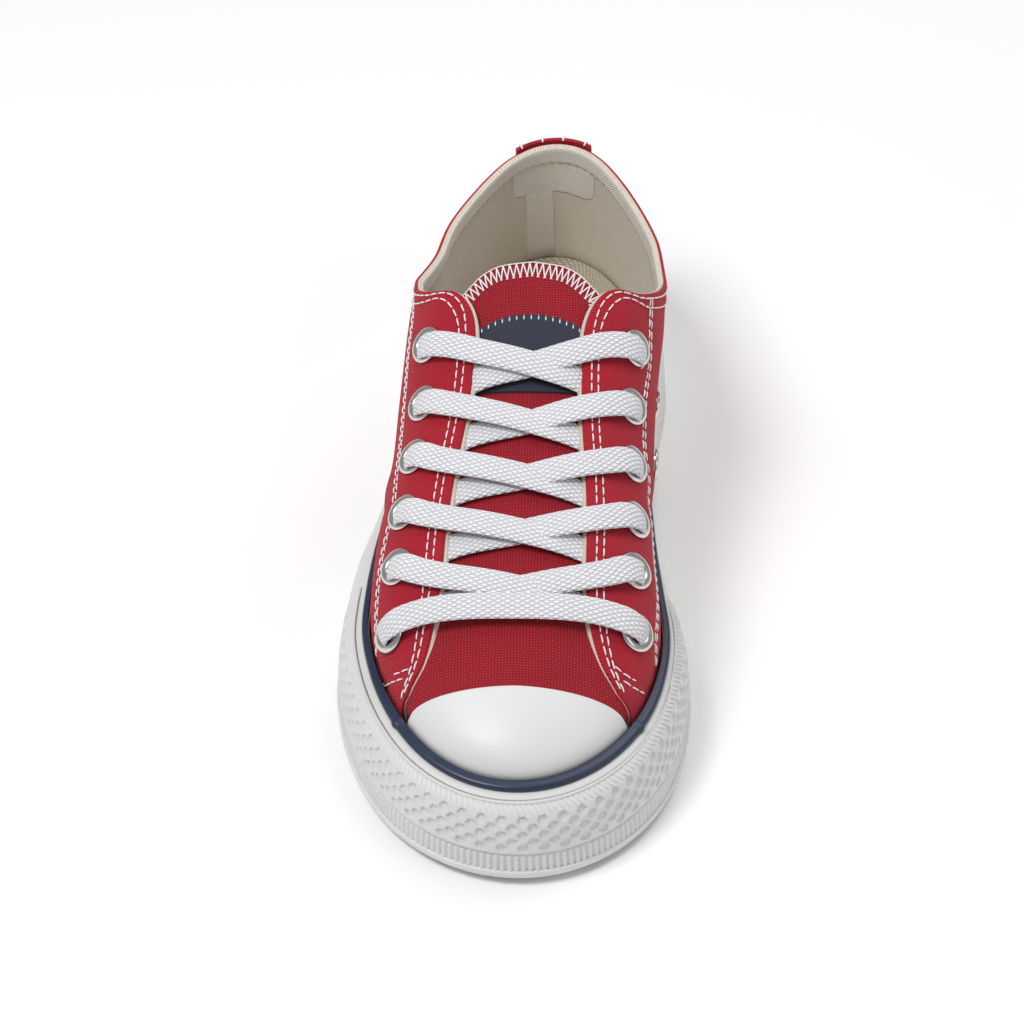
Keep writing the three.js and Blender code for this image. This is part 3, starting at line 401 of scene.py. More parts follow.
def plainWeave(tree, pitch, turn=0, odd=0.62):
    # height of a plain weave: warp knuckles on the even cells, lower weft knuckles on the odd ones
    x, y, _ = clothSpace(tree, pitch, turn)
    both = addNode(tree, "ShaderNodeMath", {0: sineOf(tree, x, 1), 1: sineOf(tree, y, 1)}, operation="MULTIPLY").outputs[0]
    low = addNode(tree, "ShaderNodeMath", {0: both}, {1: -odd}, operation="MULTIPLY").outputs[0]
    return addNode(tree, "ShaderNodeMath", {0: both, 1: low}, operation="MAXIMUM").outputs[0]


def twillWeave(tree, pitch, turn):
    # height of a twill: long diagonal ridges, each broken into floats by a fine cross wave
    x, y, _ = clothSpace(tree, pitch, turn, wobble=0.08)
    ridge = addNode(tree, "ShaderNodeMath", {0: sineOf(tree, x, 1)}, operation="ABSOLUTE").outputs[0]
    floats = addNode(tree, "ShaderNodeMath", {0: sineOf(tree, y, 1.3)}, operation="ABSOLUTE").outputs[0]
    fine = addNode(tree, "ShaderNodeMath", {0: floats}, {1: 0.3}, operation="MULTIPLY").outputs[0]
    return addNode(tree, "ShaderNodeMath", {0: ridge, 1: fine}, operation="ADD").outputs[0]


def dressCloth(height, light, gapShade, tree, shader, depth, patch=0.12, top=0.85):
    # threads get a painted highlight on their crowns and painted shade in the gaps between them, with slow patches of
    # uneven dye
    # painted shade: the weave's height picks the colour, the shaded gap colour in the hollows and the lit crown colour
    # (light) on top
    shadeRamp = addNode(tree, "ShaderNodeMapRange", {"Value": height}, {"From Min": 0.05, "From Max": top})
    mix = addNode(tree, "ShaderNodeMix", {"Factor": shadeRamp.outputs["Result"]},
                  {6: linear(gapShade), 7: linear(light)}, data_type="RGBA")  # 6 and 7 are the two colours
    space = addNode(tree, "ShaderNodeTexCoord").outputs["Object"]
    noise = addNode(tree, "ShaderNodeTexNoise", {"Vector": space}, {"Scale": 90.0, "Detail": 3.0})
    spread = addNode(tree, "ShaderNodeMapRange", {"Value": noise.outputs["Fac"]},
                     {"To Min": 1 - patch, "To Max": 1 + patch})
    tone = addNode(tree, "ShaderNodeHueSaturation", {"Color": mix.outputs[2], "Value": spread.outputs["Result"]})
    tree.links.new(tone.outputs["Color"], shader.inputs["Base Color"])
    bump = addNode(tree, "ShaderNodeBump", {"Height": height}, {"Distance": depth * mm, "Strength": 1.0})
    tree.links.new(bump.outputs["Normal"], shader.inputs["Normal"])


def makeTwill(name, turn):
    # cotton twill: diagonal ridges of matt thread, with painted shade between the ridges
    material, tree, shader = startMaterial(name, 0.85, Sheen_Weight=0.05, Sheen_Roughness=0.5)
    height = twillWeave(tree, (0.72, 0.72), turn)  # real ridges are 0.65 mm apart
    # the second colour is painted shade for the gaps between the threads
    dressCloth(height, "#c90e2e", "#6e0218", tree, shader, 0.24, top=1.05)
    return material


def makeCanvas():
    # coarse plain-woven cotton: round knuckles of thread in a staggered pattern
    material, tree, shader = startMaterial("cotton_canvas_plain_weave", 0.85, Sheen_Weight=0.05, Sheen_Roughness=0.5)
    height = plainWeave(tree, (0.86, 0.78), 0)
    # the second colour is painted shade in the gaps between the knuckles
    dressCloth(height, "#d3122f", "#7d0419", tree, shader, 0.3)
    return material


def makeLining(name, colour):
    # unbleached cotton twill: fine, flat and slightly yellow
    material, tree, shader = startMaterial(name, 0.9, Sheen_Weight=0.2, Sheen_Roughness=0.5)
    height = twillWeave(tree, (0.7, 0.7), 45)
    # the second colour is painted shade in the gaps between the threads
    dressCloth(height, colour, "#b3a795", tree, shader, 0.12, patch=0.05)
    return material


def makeInsoleCloth():
    # cream canvas glued on foam: a plain weave larger than the lining's
    material, tree, shader = startMaterial("insole_canvas", 0.9, Sheen_Weight=0.2, Sheen_Roughness=0.5)
    height = plainWeave(tree, (0.85, 0.75), 20)
    # the second colour is painted shade in the gaps between the knuckles
    dressCloth(height, "#ded5c2", "#a1957f", tree, shader, 0.2, patch=0.05)
    return material


def makeRibbon():
    # fine woven ribbon: nearly smooth, dark blue
    material, tree, shader = startMaterial("woven_ribbon_navy", 0.7, Sheen_Weight=0.15, Sheen_Roughness=0.5)
    height = plainWeave(tree, (0.45, 0.45), 0)
    # the second colour is painted shade in the gaps between the threads
    dressCloth(height, "#30364f", "#1a1d30", tree, shader, 0.08, patch=0.05)
    return material


def makeLaceCloth():
    # flat braided cotton: two families of yarns cross at a slant, white and slightly fluffy
    material, tree, shader = startMaterial("braided_cotton_white", 0.9, Sheen_Weight=0.4, Sheen_Roughness=0.4)
    height = plainWeave(tree, (1.9, 1.05), 45, odd=0.9)  # yarns twice as long as wide, as on the real braid
    # the second colour is painted shade in the gaps between the yarns
    dressCloth(height, "#fcfcfe", "#d3d3dc", tree, shader, 0.45, patch=0.03, top=0.6)
    return material


def makeThread(name, colour):
    # twisted sewing thread: small and round, with slight twist lines
    material, tree, shader = startMaterial(name, 0.7, Sheen_Weight=0.3)
    space = addNode(tree, "ShaderNodeTexCoord").outputs["Object"]
    noise = addNode(tree, "ShaderNodeTexNoise", {"Vector": space}, {"Scale": 2500.0, "Detail": 1.0})
    tone = addNode(tree, "ShaderNodeHueSaturation", {"Value": addNode(
        tree, "ShaderNodeMapRange", {"Value": noise.outputs["Fac"]}, {"To Min": 0.85, "To Max": 1.08}).outputs["Result"]},
        {"Color": linear(colour)})
    tree.links.new(tone.outputs["Color"], shader.inputs["Base Color"])
    return material


def makeRubber(name, colour, roughness, grain):
    # moulded rubber: satin, with a fine even grain and faint cloudy tone
    material, tree, shader = startMaterial(name, roughness)
    space = addNode(tree, "ShaderNodeTexCoord").outputs["Object"]
    cloud = addNode(tree, "ShaderNodeTexNoise", {"Vector": space}, {"Scale": 45.0, "Detail": 3.0})
    value = addNode(tree, "ShaderNodeMapRange", {"Value": cloud.outputs["Fac"]}, {"To Min": 0.96, "To Max": 1.03})
    tone = addNode(tree, "ShaderNodeHueSaturation", {"Value": value.outputs["Result"]}, {"Color": linear(colour)})
    tree.links.new(tone.outputs["Color"], shader.inputs["Base Color"])
    rough = addNode(tree, "ShaderNodeMapRange", {"Value": cloud.outputs["Fac"]},
                    {"To Min": roughness - 0.06, "To Max": roughness + 0.06})
    tree.links.new(rough.outputs["Result"], shader.inputs["Roughness"])
    fine = addNode(tree, "ShaderNodeTexNoise", {"Vector": space}, {"Scale": 1400.0, "Detail": 2.0})
    bump = addNode(tree, "ShaderNodeBump", {"Height": fine.outputs["Fac"]}, {"Distance": grain * mm, "Strength": 0.5})
    tree.links.new(bump.outputs["Normal"], shader.inputs["Normal"])
    return material


def makeNickel():
    # nickel-plated steel, turned: bright, with faint polishing marks
    material, tree, shader = startMaterial("polished_nickel_plate", 0.2, Metallic=1.0)
    space = addNode(tree, "ShaderNodeTexCoord").outputs["Object"]
    marks = addNode(tree, "ShaderNodeTexNoise", {"Vector": space}, {"Scale": 900.0, "Detail": 3.0})
    rough = addNode(tree, "ShaderNodeMapRange", {"Value": marks.outputs["Fac"]}, {"To Min": 0.14, "To Max": 0.3})
    tree.links.new(rough.outputs["Result"], shader.inputs["Roughness"])
    tone = addNode(tree, "ShaderNodeHueSaturation", {"Value": addNode(
        tree, "ShaderNodeMapRange", {"Value": marks.outputs["Fac"]}, {"To Min": 0.94, "To Max": 1.04}).outputs["Result"]},
        {"Color": linear("#d6d6d2")})
    tree.links.new(tone.outputs["Color"], shader.inputs["Base Color"])
    return material


makeCamera(viewPoint)
makeLights(lights)
finish = {
    "twillLateral": makeTwill("cotton_twill_lateral", -57),
    "twillMedial": makeTwill("cotton_twill_medial", -7),
    "canvas": makeCanvas(),
    "lining": makeLining("cotton_lining_twill", "#dfd6c8"),
    "band": makeLining("cotton_lining_band", "#efeae2"),
    "insole": makeInsoleCloth(),
    "ribbon": makeRibbon(),
    "lace": makeLaceCloth(),
    "thread": makeThread("sewing_thread_white", "#f4f2f2"),
    "rubber": makeRubber("vulcanised_rubber_white", "#dededd", 0.5, 0.05),
    "cap": makeRubber("moulded_rubber_toe_cap", "#e0e0e0", 0.42, 0.03),
    "sole": makeRubber("outsole_rubber", "#e3e3e1", 0.65, 0.08),
    "cream": makeThread("sewing_thread_cream", "#b7a88f"),
    "navy": makeRubber("rubber_strip_navy", "#232f49", 0.36, 0.03),
    "nickel": makeNickel(),
}
print("materials made")

# floor
floorSettings = {"half": 3.0, "colour": "#fdfdfd"}


def makeFloor(settings):
    half = settings["half"]
    mesh = bpy.data.meshes.new("floor")
    mesh.from_pydata([(-half, -half, 0), (half, -half, 0), (half, half, 0), (-half, half, 0)], [], [(0, 1, 2, 3)])
    floor = bpy.data.objects.new("floor", mesh)
    bpy.context.scene.collection.objects.link(floor)
    material, tree, shader = startMaterial("paper_backdrop", 0.9)
    space = addNode(tree, "ShaderNodeTexCoord").outputs["Object"]
    noise = addNode(tree, "ShaderNodeTexNoise", {"Vector": space}, {"Scale": 3.0})
    tone = addNode(tree, "ShaderNodeHueSaturation", {"Value": addNode(
        tree, "ShaderNodeMapRange", {"Value": noise.outputs["Fac"]}, {"To Min": 0.99, "To Max": 1.01}).outputs["Result"]},
        {"Color": linear(settings["colour"])})
    tree.links.new(tone.outputs["Color"], shader.inputs["Base Color"])
    mesh.materials.append(material)


makeFloor(floorSettings)

# quarters and lining
quarters = {"stations": 500, "rows": 76, "sink": 3.0, "edgeRound": 0.35, "liningProud": 0.55,
            "seamSink": 0.3, "creaseDepth": 0.55}

# seams on the outside, mm: the edge of the eyelet panel, and the bar in front of the throat
panelSeams = {
    "lateral": [(-34.4, 37.5, 71.5), (-33.6, 26.9, 71.8), (-34.4, 16.9, 66.3), (-34.4, 4.9, 61.5), (-34.7, -6.9, 56.7),
                (-34.6, -25.8, 53.3), (-34.6, -38.5, 50.8), (-36, -46.4, 47.2), (-36.8, -52.9, 44.4),
                (-37.1, -61.4, 41.5), (-37, -69.3, 37.2), (-37, -74.9, 32), (-36.6, -77.7, 26.9)],
    "medial": [(37.5, 28.6, 77.6), (37.5, 21.9, 73.4), (37.5, 11.4, 66.5), (36.6, -1, 63), (36.5, -8.7, 59.8),
               (36.9, -18, 55.1), (38.4, -23.9, 48.8), (39, -29.8, 46.2), (39.3, -35.5, 41.5), (40.8, -55.8, 38.4),
               (41.4, -65.5, 36.6), (41.2, -74.9, 33.9), (41.2, -78.5, 29.6), (41, -80.7, 26.8)],
}
frontBars = [
    [(-26.3, -91, 37.3), (-30, -89.8, 34.2), (-36, -79.5, 20.7)],
    [(-28, -92.3, 34.8), (-31.6, -89.8, 30.7), (-35.7, -80.5, 19.1)],
    [(30.3, -90.6, 39.7), (34.8, -91.3, 35.8), (40.1, -85.5, 26.1)],
    [(33.1, -93.1, 36.5), (36.2, -92.8, 33.1), (38.8, -89.6, 28.1)],
]
# soft creases in the walls: path in mm, width in mm, depth as a share of creaseDepth (below 0 for a ridge)
creases = [
    ([(-36, -30, 44), (-40, -28, 36), (-43, -24, 30)], 3.5, 1.0),
    ([(-36, -22, 46), (-40, -19, 38), (-43, -15, 32)], 3.5, -0.8),
    ([(39, -28, 46), (40, -25, 38), (39, -22, 30)], 3.5, 1.0),
    ([(38, -18, 50), (39, -15, 42), (38, -12, 33)], 3.5, -0.8),
    ([(-36, 45, 62), (-38, 52, 52), (-38, 60, 42)], 5.0, 0.8),
    ([(38, 45, 60), (38, 54, 50), (38, 62, 42)], 5.0, 0.8),
]


def evenPath(stops, step):
    # points a fixed distance apart along the smooth curve through the stops
    stops = np.asarray(stops, float)
    knots = np.concatenate([[0], np.cumsum(np.linalg.norm(np.diff(stops, axis=0), axis=-1))])
    table = {"at": knots, "x": stops[:, 0], "y": stops[:, 1], "z": stops[:, 2]}
    dense = np.linspace(0, knots[-1], 1500)
    curve = np.stack([valueAt(table, name, dense) for name in "xyz"], -1)
    length = np.concatenate([[0], np.cumsum(np.linalg.norm(np.diff(curve, axis=0), axis=-1))])
    wanted = np.arange(0, length[-1], step)
    return np.stack([np.interp(wanted, length, curve[:, k]) for k in range(3)], -1)


def pressed(grid):
    # the cloth drawn in along its seams and creases: bell-shaped in the distance to each path
    normal = np.cross(np.gradient(grid, axis=0), np.gradient(grid, axis=1))
    normal /= np.maximum(np.linalg.norm(normal, axis=-1, keepdims=True), 1e-9)
    heart = np.stack([grid[..., 0] * 0 + 3, grid[..., 1], grid[..., 2] * 0 + 20], -1)
    normal *= np.sign((normal * (grid - heart)).sum(-1, keepdims=True))
    moved = np.zeros(grid.shape[:2])
    lines = [(path, 1.3, quarters["seamSink"]) for path in list(panelSeams.values()) + frontBars]
    lines += [(path, width, share * quarters["creaseDepth"]) for path, width, share in creases]
    for path, width, depth in lines:
        spots = evenPath(path, 1.0)
        far = np.full(grid.shape[:2], 1e9)
        for part in np.array_split(spots, 8):
            far = np.minimum(far, np.linalg.norm(grid[:, :, None] - part[None, None], axis=-1).min(-1))
        moved -= depth * np.exp(-(far / width) ** 2)
    return grid + normal * moved[..., None]


def riseLimit(angle):
    # how far a rib of the quarters rises: to the throat's edge, or to the collar line behind it
    side = sideOf(angle)

    def spare(rise):
        point = lastPoint(angle, rise, quarterOut)
        x, y, z = point[..., 0], point[..., 1], point[..., 2]
        edge = np.where(side < 0, throatEdge(-1, y), throatEdge(1, y))
        throat = np.where(y > 29, 99.0, side * (x - edge))
        collar = np.where(y < 21, 99.0, last["instep"] * valueAt(collarRows, "height", (y - toeY) / last["length"]) - z)
        return np.minimum(throat, collar)

    return solveFall(spare, np.zeros_like(angle), np.full_like(angle, np.pi / 2))


def quarterStations(count):
    # angles from the lateral throat corner round the heel to the medial one, evenly along the foot
    dense = np.linspace(0.3, 2 * np.pi - 0.3, 4000)
    limit = riseLimit(dense)
    inside = dense[limit > 0.004]
    foot = outline(inside, quarterOut)
    length = np.concatenate([[0], np.cumsum(np.linalg.norm(np.diff(foot, axis=0), axis=-1))])
    return np.interp(np.linspace(0, length[-1], count), length, inside)


def smoothLine(values, width):
    # weighted mean along a line, with its ends kept
    kernel = np.exp(-np.linspace(-2, 2, 2 * width + 1) ** 2)
    padded = np.concatenate([2 * values[0] - values[width:0:-1], values, 2 * values[-1] - values[-2:-width - 2:-1]])
    return np.convolve(padded, kernel / kernel.sum(), mode="valid")


quarterAngles = quarterStations(quarters["stations"])
quarterLimit = np.maximum(smoothLine(riseLimit(quarterAngles), 4), 0.002)


def perRise(angle, limit, out):
    # mm of rib for one radian of rise, at the rib's upper end
    near = lastPoint(angle, limit, out) - lastPoint(angle, limit * 0.999, out)
    return np.maximum(np.linalg.norm(near, axis=-1) / (limit * 0.001), 8)


def quarterGrid(out, lift=0.0, sink=0.0, rows=60):
    # ribs of the quarters at one offset; lift moves the top edge on by that many mm, sink adds a skirt below
    limit = np.maximum(quarterLimit + lift / perRise(quarterAngles, quarterLimit, out), 0.002)
    grid = lastPoint(quarterAngles[:, None], limit[:, None] * np.linspace(0, 1, rows)[None, :], out)
    if sink:
        skirt = grid[:, :1].copy()
        skirt[..., 2] -= sink
        grid = np.concatenate([skirt, grid], 1)
    return grid


def makeQuarters(settings):
    rows = settings["rows"]
    edgeRound = settings["edgeRound"]
    outer = quarterGrid(quarterOut, -edgeRound, settings["sink"], rows)
    edge = quarterGrid(quarterOut - edgeRound, 0, settings["sink"], rows)[:, -1:]
    inner = quarterGrid(quarterOut - 1.0, 0, settings["sink"], rows)
    outer = pressed(np.concatenate([outer, edge], 1))
    inner = np.concatenate([inner, inner[:, -1:]], 1)
    piece = shellPiece("quarters", outer, inner, finish["twillLateral"], "canvas_red", replaces=["upper"], sharp=50)
    piece.data.materials.append(finish["twillMedial"])
    columns = 2 * outer.shape[1]
    medial = np.zeros(len(piece.data.polygons), np.int32)
    row = np.arange((len(quarterAngles) - 1) * columns) // columns
    medial[:len(row)] = sideOf(quarterAngles[row] + 1e-4) > 0
    piece.data.polygons.foreach_set("material_index", medial)
    return piece


def makeLiningPiece(settings):
    rows = settings["rows"]
    proud = settings["liningProud"]
    outer = quarterGrid(quarterOut - 1.0, proud, 9.5, rows)
    rim = quarterGrid(-0.2, proud + 0.25, 9.5, rows)[:, -1:]
    inner = quarterGrid(-1.2, proud, 9.5, rows)
    outer = np.concatenate([outer, rim], 1)
    inner = np.concatenate([inner, inner[:, -1:]], 1)
    shellPiece("lining", outer, inner, finish["lining"], "insole_cloth", sharp=0)


def heelAngles(low, high, count, out):
    # angles of the outline from one distance beside the heel's middle line to another
    dense = np.linspace(np.pi - 1.2, np.pi + 1.2, 2001)
    middle = halfBall * valueAt(sections, "centre", 1.0)
    return np.interp(middle + np.linspace(low, high, count), outline(dense, out)[:, 0], dense)


def liningPatch(name, angle, bottom, top, thick, deep=1.22):
    # a second layer sewn on the lining, from one depth below the collar's edge to another
    limit = np.interp(angle, quarterAngles, quarterLimit)
    each = perRise(angle, limit, -deep)
    low, high = limit + bottom / each, limit + top / each
    low = np.maximum(low, 0.002)
    rise = low[:, None] + (high - low)[:, None] * np.linspace(0, 1, 24)[None, :]
    rounded = thick * (1 - 0.8 * np.abs(np.linspace(-1, 1, 24)) ** 6)[None, :]
    rounded = rounded * (1 - 0.8 * np.abs(np.linspace(-1, 1, len(angle))) ** 10)[:, None]
    outer, inner = lastPoint(angle[:, None], rise, -deep), lastPoint(angle[:, None], rise, -deep - rounded)
    if low.max() < 0.01:  # down to the insole
        outer, inner = (np.concatenate([grid[:, :1] - np.array([0, 0, 6.0]), grid], 1) for grid in (outer, inner))
    shellPiece(name, outer, inner, finish["band"], "insole_cloth", sharp=0)


def makeLiningLayers(settings):
    inside = quarterAngles[(lastPoint(quarterAngles, quarterLimit, 0)[:, 1] > 24)]
    liningPatch("lining_collar_band", inside, -settings["band"], 0.7, 0.5)
    s = np.linspace(-1, 1, 41)
    width, depth = settings["patch"]
    corner = 1 - np.abs(s) ** 8 * 0.35
    liningPatch("lining_heel_patch", heelAngles(-width / 2, width / 2, 41, -2), -settings["band"] - depth * corner,
                -settings["band"] + 0.6, 0.3)
    liningPatch("lining_heel_tape", heelAngles(-settings["tape"], 0, 15, -2), -400 + np.zeros(15),
                -settings["band"] - depth + 0.6, 0.3)


liningLayers = {"band": 5.0, "patch": (26, 9), "tape": 9}  # mm
quarterPiece = makeQuarters(quarters)
makeLiningPiece(quarters)
makeLiningLayers(liningLayers)
print("quarters and lining made")

# vamp and tongue
tongue = {
    "stations": 300, "columns": 121, "thickness": 1.3,
    "rows": {  # mm along the foot, and both edges of the sheet under the quarters
        "at": [-112, -96, -88, -80, -66, -40, -10, 12, 20, 25, 27, 27.6],
        "lateral": [-60, -60, -33, -26, -23, -22, -21, -22, -20.5, -13, -6.5, 2],
        "medial": [60, 60, 36, 30, 27.5, 26.5, 26, 27, 24.5, 17, 10.5, 2.4],
    },
}


def makeTongue(settings):
    # ribs from one edge up over the ridge and down to the other; the first ones meet at the toe
    count = settings["stations"]
    s = np.linspace(0, 1, count)
    farthest = np.arccos(1 - 2 * (27.6 - toeY) / last["length"])
    at = shareAt(farthest * (0.35 * s + 0.65 * np.sin(s * np.pi / 2)))
    sides = []
    for side, name in ((-1, "lateral"), (1, "medial")):
        angle = -side * np.arccos(1 - 2 * at)

        def spare(rise, angle=angle, side=side, name=name):
            point = lastPoint(angle, rise, 0)
            edge = np.interp(point[..., 1], settings["rows"]["at"], settings["rows"][name])
            return side * (point[..., 0] - edge)

        low = solveFall(spare, np.zeros(count), np.full(count, np.pi / 2))
        share = np.linspace(0, 1, settings["columns"] // 2 + 1)[None, :]
        rise = low[:, None] + (np.pi / 2 - low[:, None]) * share
        flat = lastPoint(angle[:, None], rise, 0)
        drop = tongueOut * smoothStep(-90, -70, flat[..., 1])
        sides.append([lastPoint(angle[:, None], rise, drop), lastPoint(angle[:, None], rise, drop - settings["thickness"])])
    grids = [np.concatenate([sides[0][k], sides[1][k][:, -2::-1]], 1) for k in (0, 1)]
    # the weave runs straight: across by distance from the ridge, along by the ridge's own length
    middle = settings["columns"] // 2
    ridge = np.concatenate([grids[0][0, :middle], grids[0][:, middle]])
    run = np.concatenate([[0], np.cumsum(np.linalg.norm(np.diff(ridge, axis=0), axis=-1))])
    x, y, z = (grids[0][..., k] for k in range(3))
    aside = x - np.interp(y, ridge[:, 1], ridge[:, 0])
    down = np.interp(y, ridge[:, 1], ridge[:, 2]) - z
    lengths = np.stack([np.sign(aside) * np.hypot(aside, down), np.interp(y, ridge[:, 1], run)], -1)
    shellPiece("vamp_and_tongue", grids[0], grids[1], finish["canvas"], "canvas_red", replaces=["tongue"],
               lengths=lengths, sharp=50)
    tail = grids[0][grids[0][:, 0, 1] > 9]
    return np.concatenate([tail[::4, 0], tail[-1, 4:-4:4], tail[::-4, -1]])


tongueEdge = makeTongue(tongue)
print("vamp and tongue made")

# toe cap
toeCap = {"stations": 160, "rows": 50, "edge": -100.6, "bow": 1.6, "round": 0.5}


def makeToeCap(settings):
    # ribs round the toe, each from the foot up to the cap's back line
    dense = np.linspace(-1.2, 1.2, 2001)
    middle = halfBall * valueAt(sections, "centre", 0.09)

    def spare(rise, angle, out):
        point = lastPoint(angle, rise, out)
        return settings["edge"] - settings["bow"] * ((point[..., 0] - middle) / 36) ** 2 - point[..., 1]

    inside = dense[spare(np.zeros_like(dense), dense, capOut) > 0.05]
    angle = np.linspace(inside[0], inside[-1], settings["stations"])

    def grid(out, back):
        limit = solveFall(lambda rise: spare(rise, angle, out) - back, np.zeros_like(angle), np.full_like(angle, np.pi / 2))
        made = lastPoint(angle[:, None], limit[:, None] * np.linspace(0, 1, settings["rows"])[None, :], out)
        skirt = made[:, :1].copy()
        skirt[..., 2] -= 2.5
        return np.concatenate([skirt, made], 1)

    outer = np.concatenate([grid(capOut, settings["round"]), grid(capOut - settings["round"], 0)[:, -1:]], 1)
    inner = grid(0.2, 0)
    inner = np.concatenate([inner, inner[:, -1:]], 1)
    shellPiece("toe_cap_rubber", outer, inner, finish["cap"], "rubber_cap", replaces=["toe_cap"], sharp=60)


makeToeCap(toeCap)
print("toe cap made")

# sole: foxing, stripe, bumper, outsole
sole = {
    "stations": 700, "foxingInner": 1.8, "stripeInner": 2.1, "stripeToe": 2.8, "stripeSide": 1.6, "stripeHeight": 1.8,
    "band": 0.93, "bumperBack": -43, "bumperDepth": 2.5, "kink": 0.6,
}
sideProfile = {"at": [.10, .36, .63, .83, .90, .93], "reach": [.935, .86, .76, .55, .30, .06]}


def evenAngles(start, end, count, out):
    # angles a fixed distance apart along the outline
    dense = np.linspace(start, end, 6000)
    foot = outline(dense, out)
    length = np.concatenate([[0], np.cumsum(np.linalg.norm(np.diff(foot, axis=0), axis=-1))])
    return np.interp(np.linspace(0, length[-1], count), length, dense), length[-1]


def stripeWidth(at):
    return sole["stripeToe"] + (sole["stripeSide"] - sole["stripeToe"]) * smoothStep(0, 0.3, at)


def soleReach(angle, reach):
    at = shareAt(angle)
    return sole["stripeInner"] + stripeWidth(at) + last["flare"] * bySide(soleSections, "flare", at, angle) * reach


def ringOf(angle, out, z):
    # grid of points from offsets and heights given for each station and each row
    angle, out, z = np.broadcast_arrays(angle, out, z)
    return np.concatenate([outline(angle, out), z[..., None]], -1)


def bumperEnd():
    return np.arccos(1 - 2 * (sole["bumperBack"] - toeY) / last["length"])


def makeFoxing():
    angle = evenAngles(0, 2 * np.pi, sole["stations"] + 1, 8)[0][:-1, None]
    at = shareAt(angle)
    ground, top = groundAt(at) + last["flange"] + 0.3, foxingTop(at)
    share = np.linspace(0, 1, 26)[None, :]
    z = ground + (top * sole["band"] - ground) * share
    turn = np.minimum(angle, 2 * np.pi - angle)
    behind = 1 - smoothStep(bumperEnd() - 0.05, bumperEnd(), turn)
    depth = sole["bumperDepth"] * behind * (1 - smoothStep(0.86, 0.915, z / top))
    reach = valueAt(sideProfile, "reach", z / top)
    outer = ringOf(angle, soleReach(angle, reach) - depth + 0.35 * smoothStep(0.9, 0.93, z / top), z)
    lip = ringOf(angle, soleReach(angle, 0) + np.array([0.2, -0.4]), top * sole["band"] + np.array([0.25, 0.3]))
    inner = ringOf(angle, sole["foxingInner"], np.concatenate([top * sole["band"], ground], 1))
    railPiece("foxing_band", np.concatenate([outer, lip, inner], 1), finish["rubber"], "rubber_white",
              replaces=["foxing"], sharp=60)


def makeStripe():
    # navy strip: a rounded rectangle lying on the foxing, with a small step at both kinks of the toe
    angle = evenAngles(0, 2 * np.pi, sole["stations"] + 1, 4)[0][:-1, None]
    at = shareAt(angle)
    low = foxingTop(at) * sole["band"] + 0.3
    width, high = stripeWidth(at), sole["stripeHeight"]
    turn = np.where(sideOf(angle) < 0, angle, 2 * np.pi - angle)
    step = 0.55 * np.exp(-((turn - sole["kink"]) / 0.012) ** 2)
    corner = np.array([[0, 0], [0.88, 0], [1, 0.1], [1.03, 0.45], [1.0, 0.72], [0.85, 0.93], [0.6, 1.03], [0, 1.05]])
    out = sole["stripeInner"] + (width + step) * corner[None, :, 0]
    z = low + high * corner[None, :, 1] + step * 0.5 * corner[None, :, 1]
    railPiece("navy_stripe", ringOf(angle, out, z), finish["navy"], "rubber_navy", replaces=["pinstripe"], sharp=60)


bumper = {
    "columnPitch": 0.37, "rowPitch": 0.32, "proud": 0.35,
    "ribPitch": 1.85, "ribDepth": 0.8, "ribLow": 3.5, "ribHigh": 9.6,
    "leanPitch": 1.85, "leanDepth": 0.7, "leanLow": 22.6, "leanHigh": 24.6, "lean": 0.9,
    "cellPitch": 5.8, "cellRadius": 1.62, "cellDepth": 0.85, "cellRows": [12.2, 14.35, 16.5, 18.65, 20.75],
    "fade": 7.0,
}


def groove(along, pitch, share=0.3):
    # 1 on a rib, falling to 0 in the narrow groove between two ribs
    phase = np.abs((along / pitch) % 1 - 0.5) * 2
    return 1 - smoothStep(1 - share * 1.6, 1 - share * 0.2, phase)


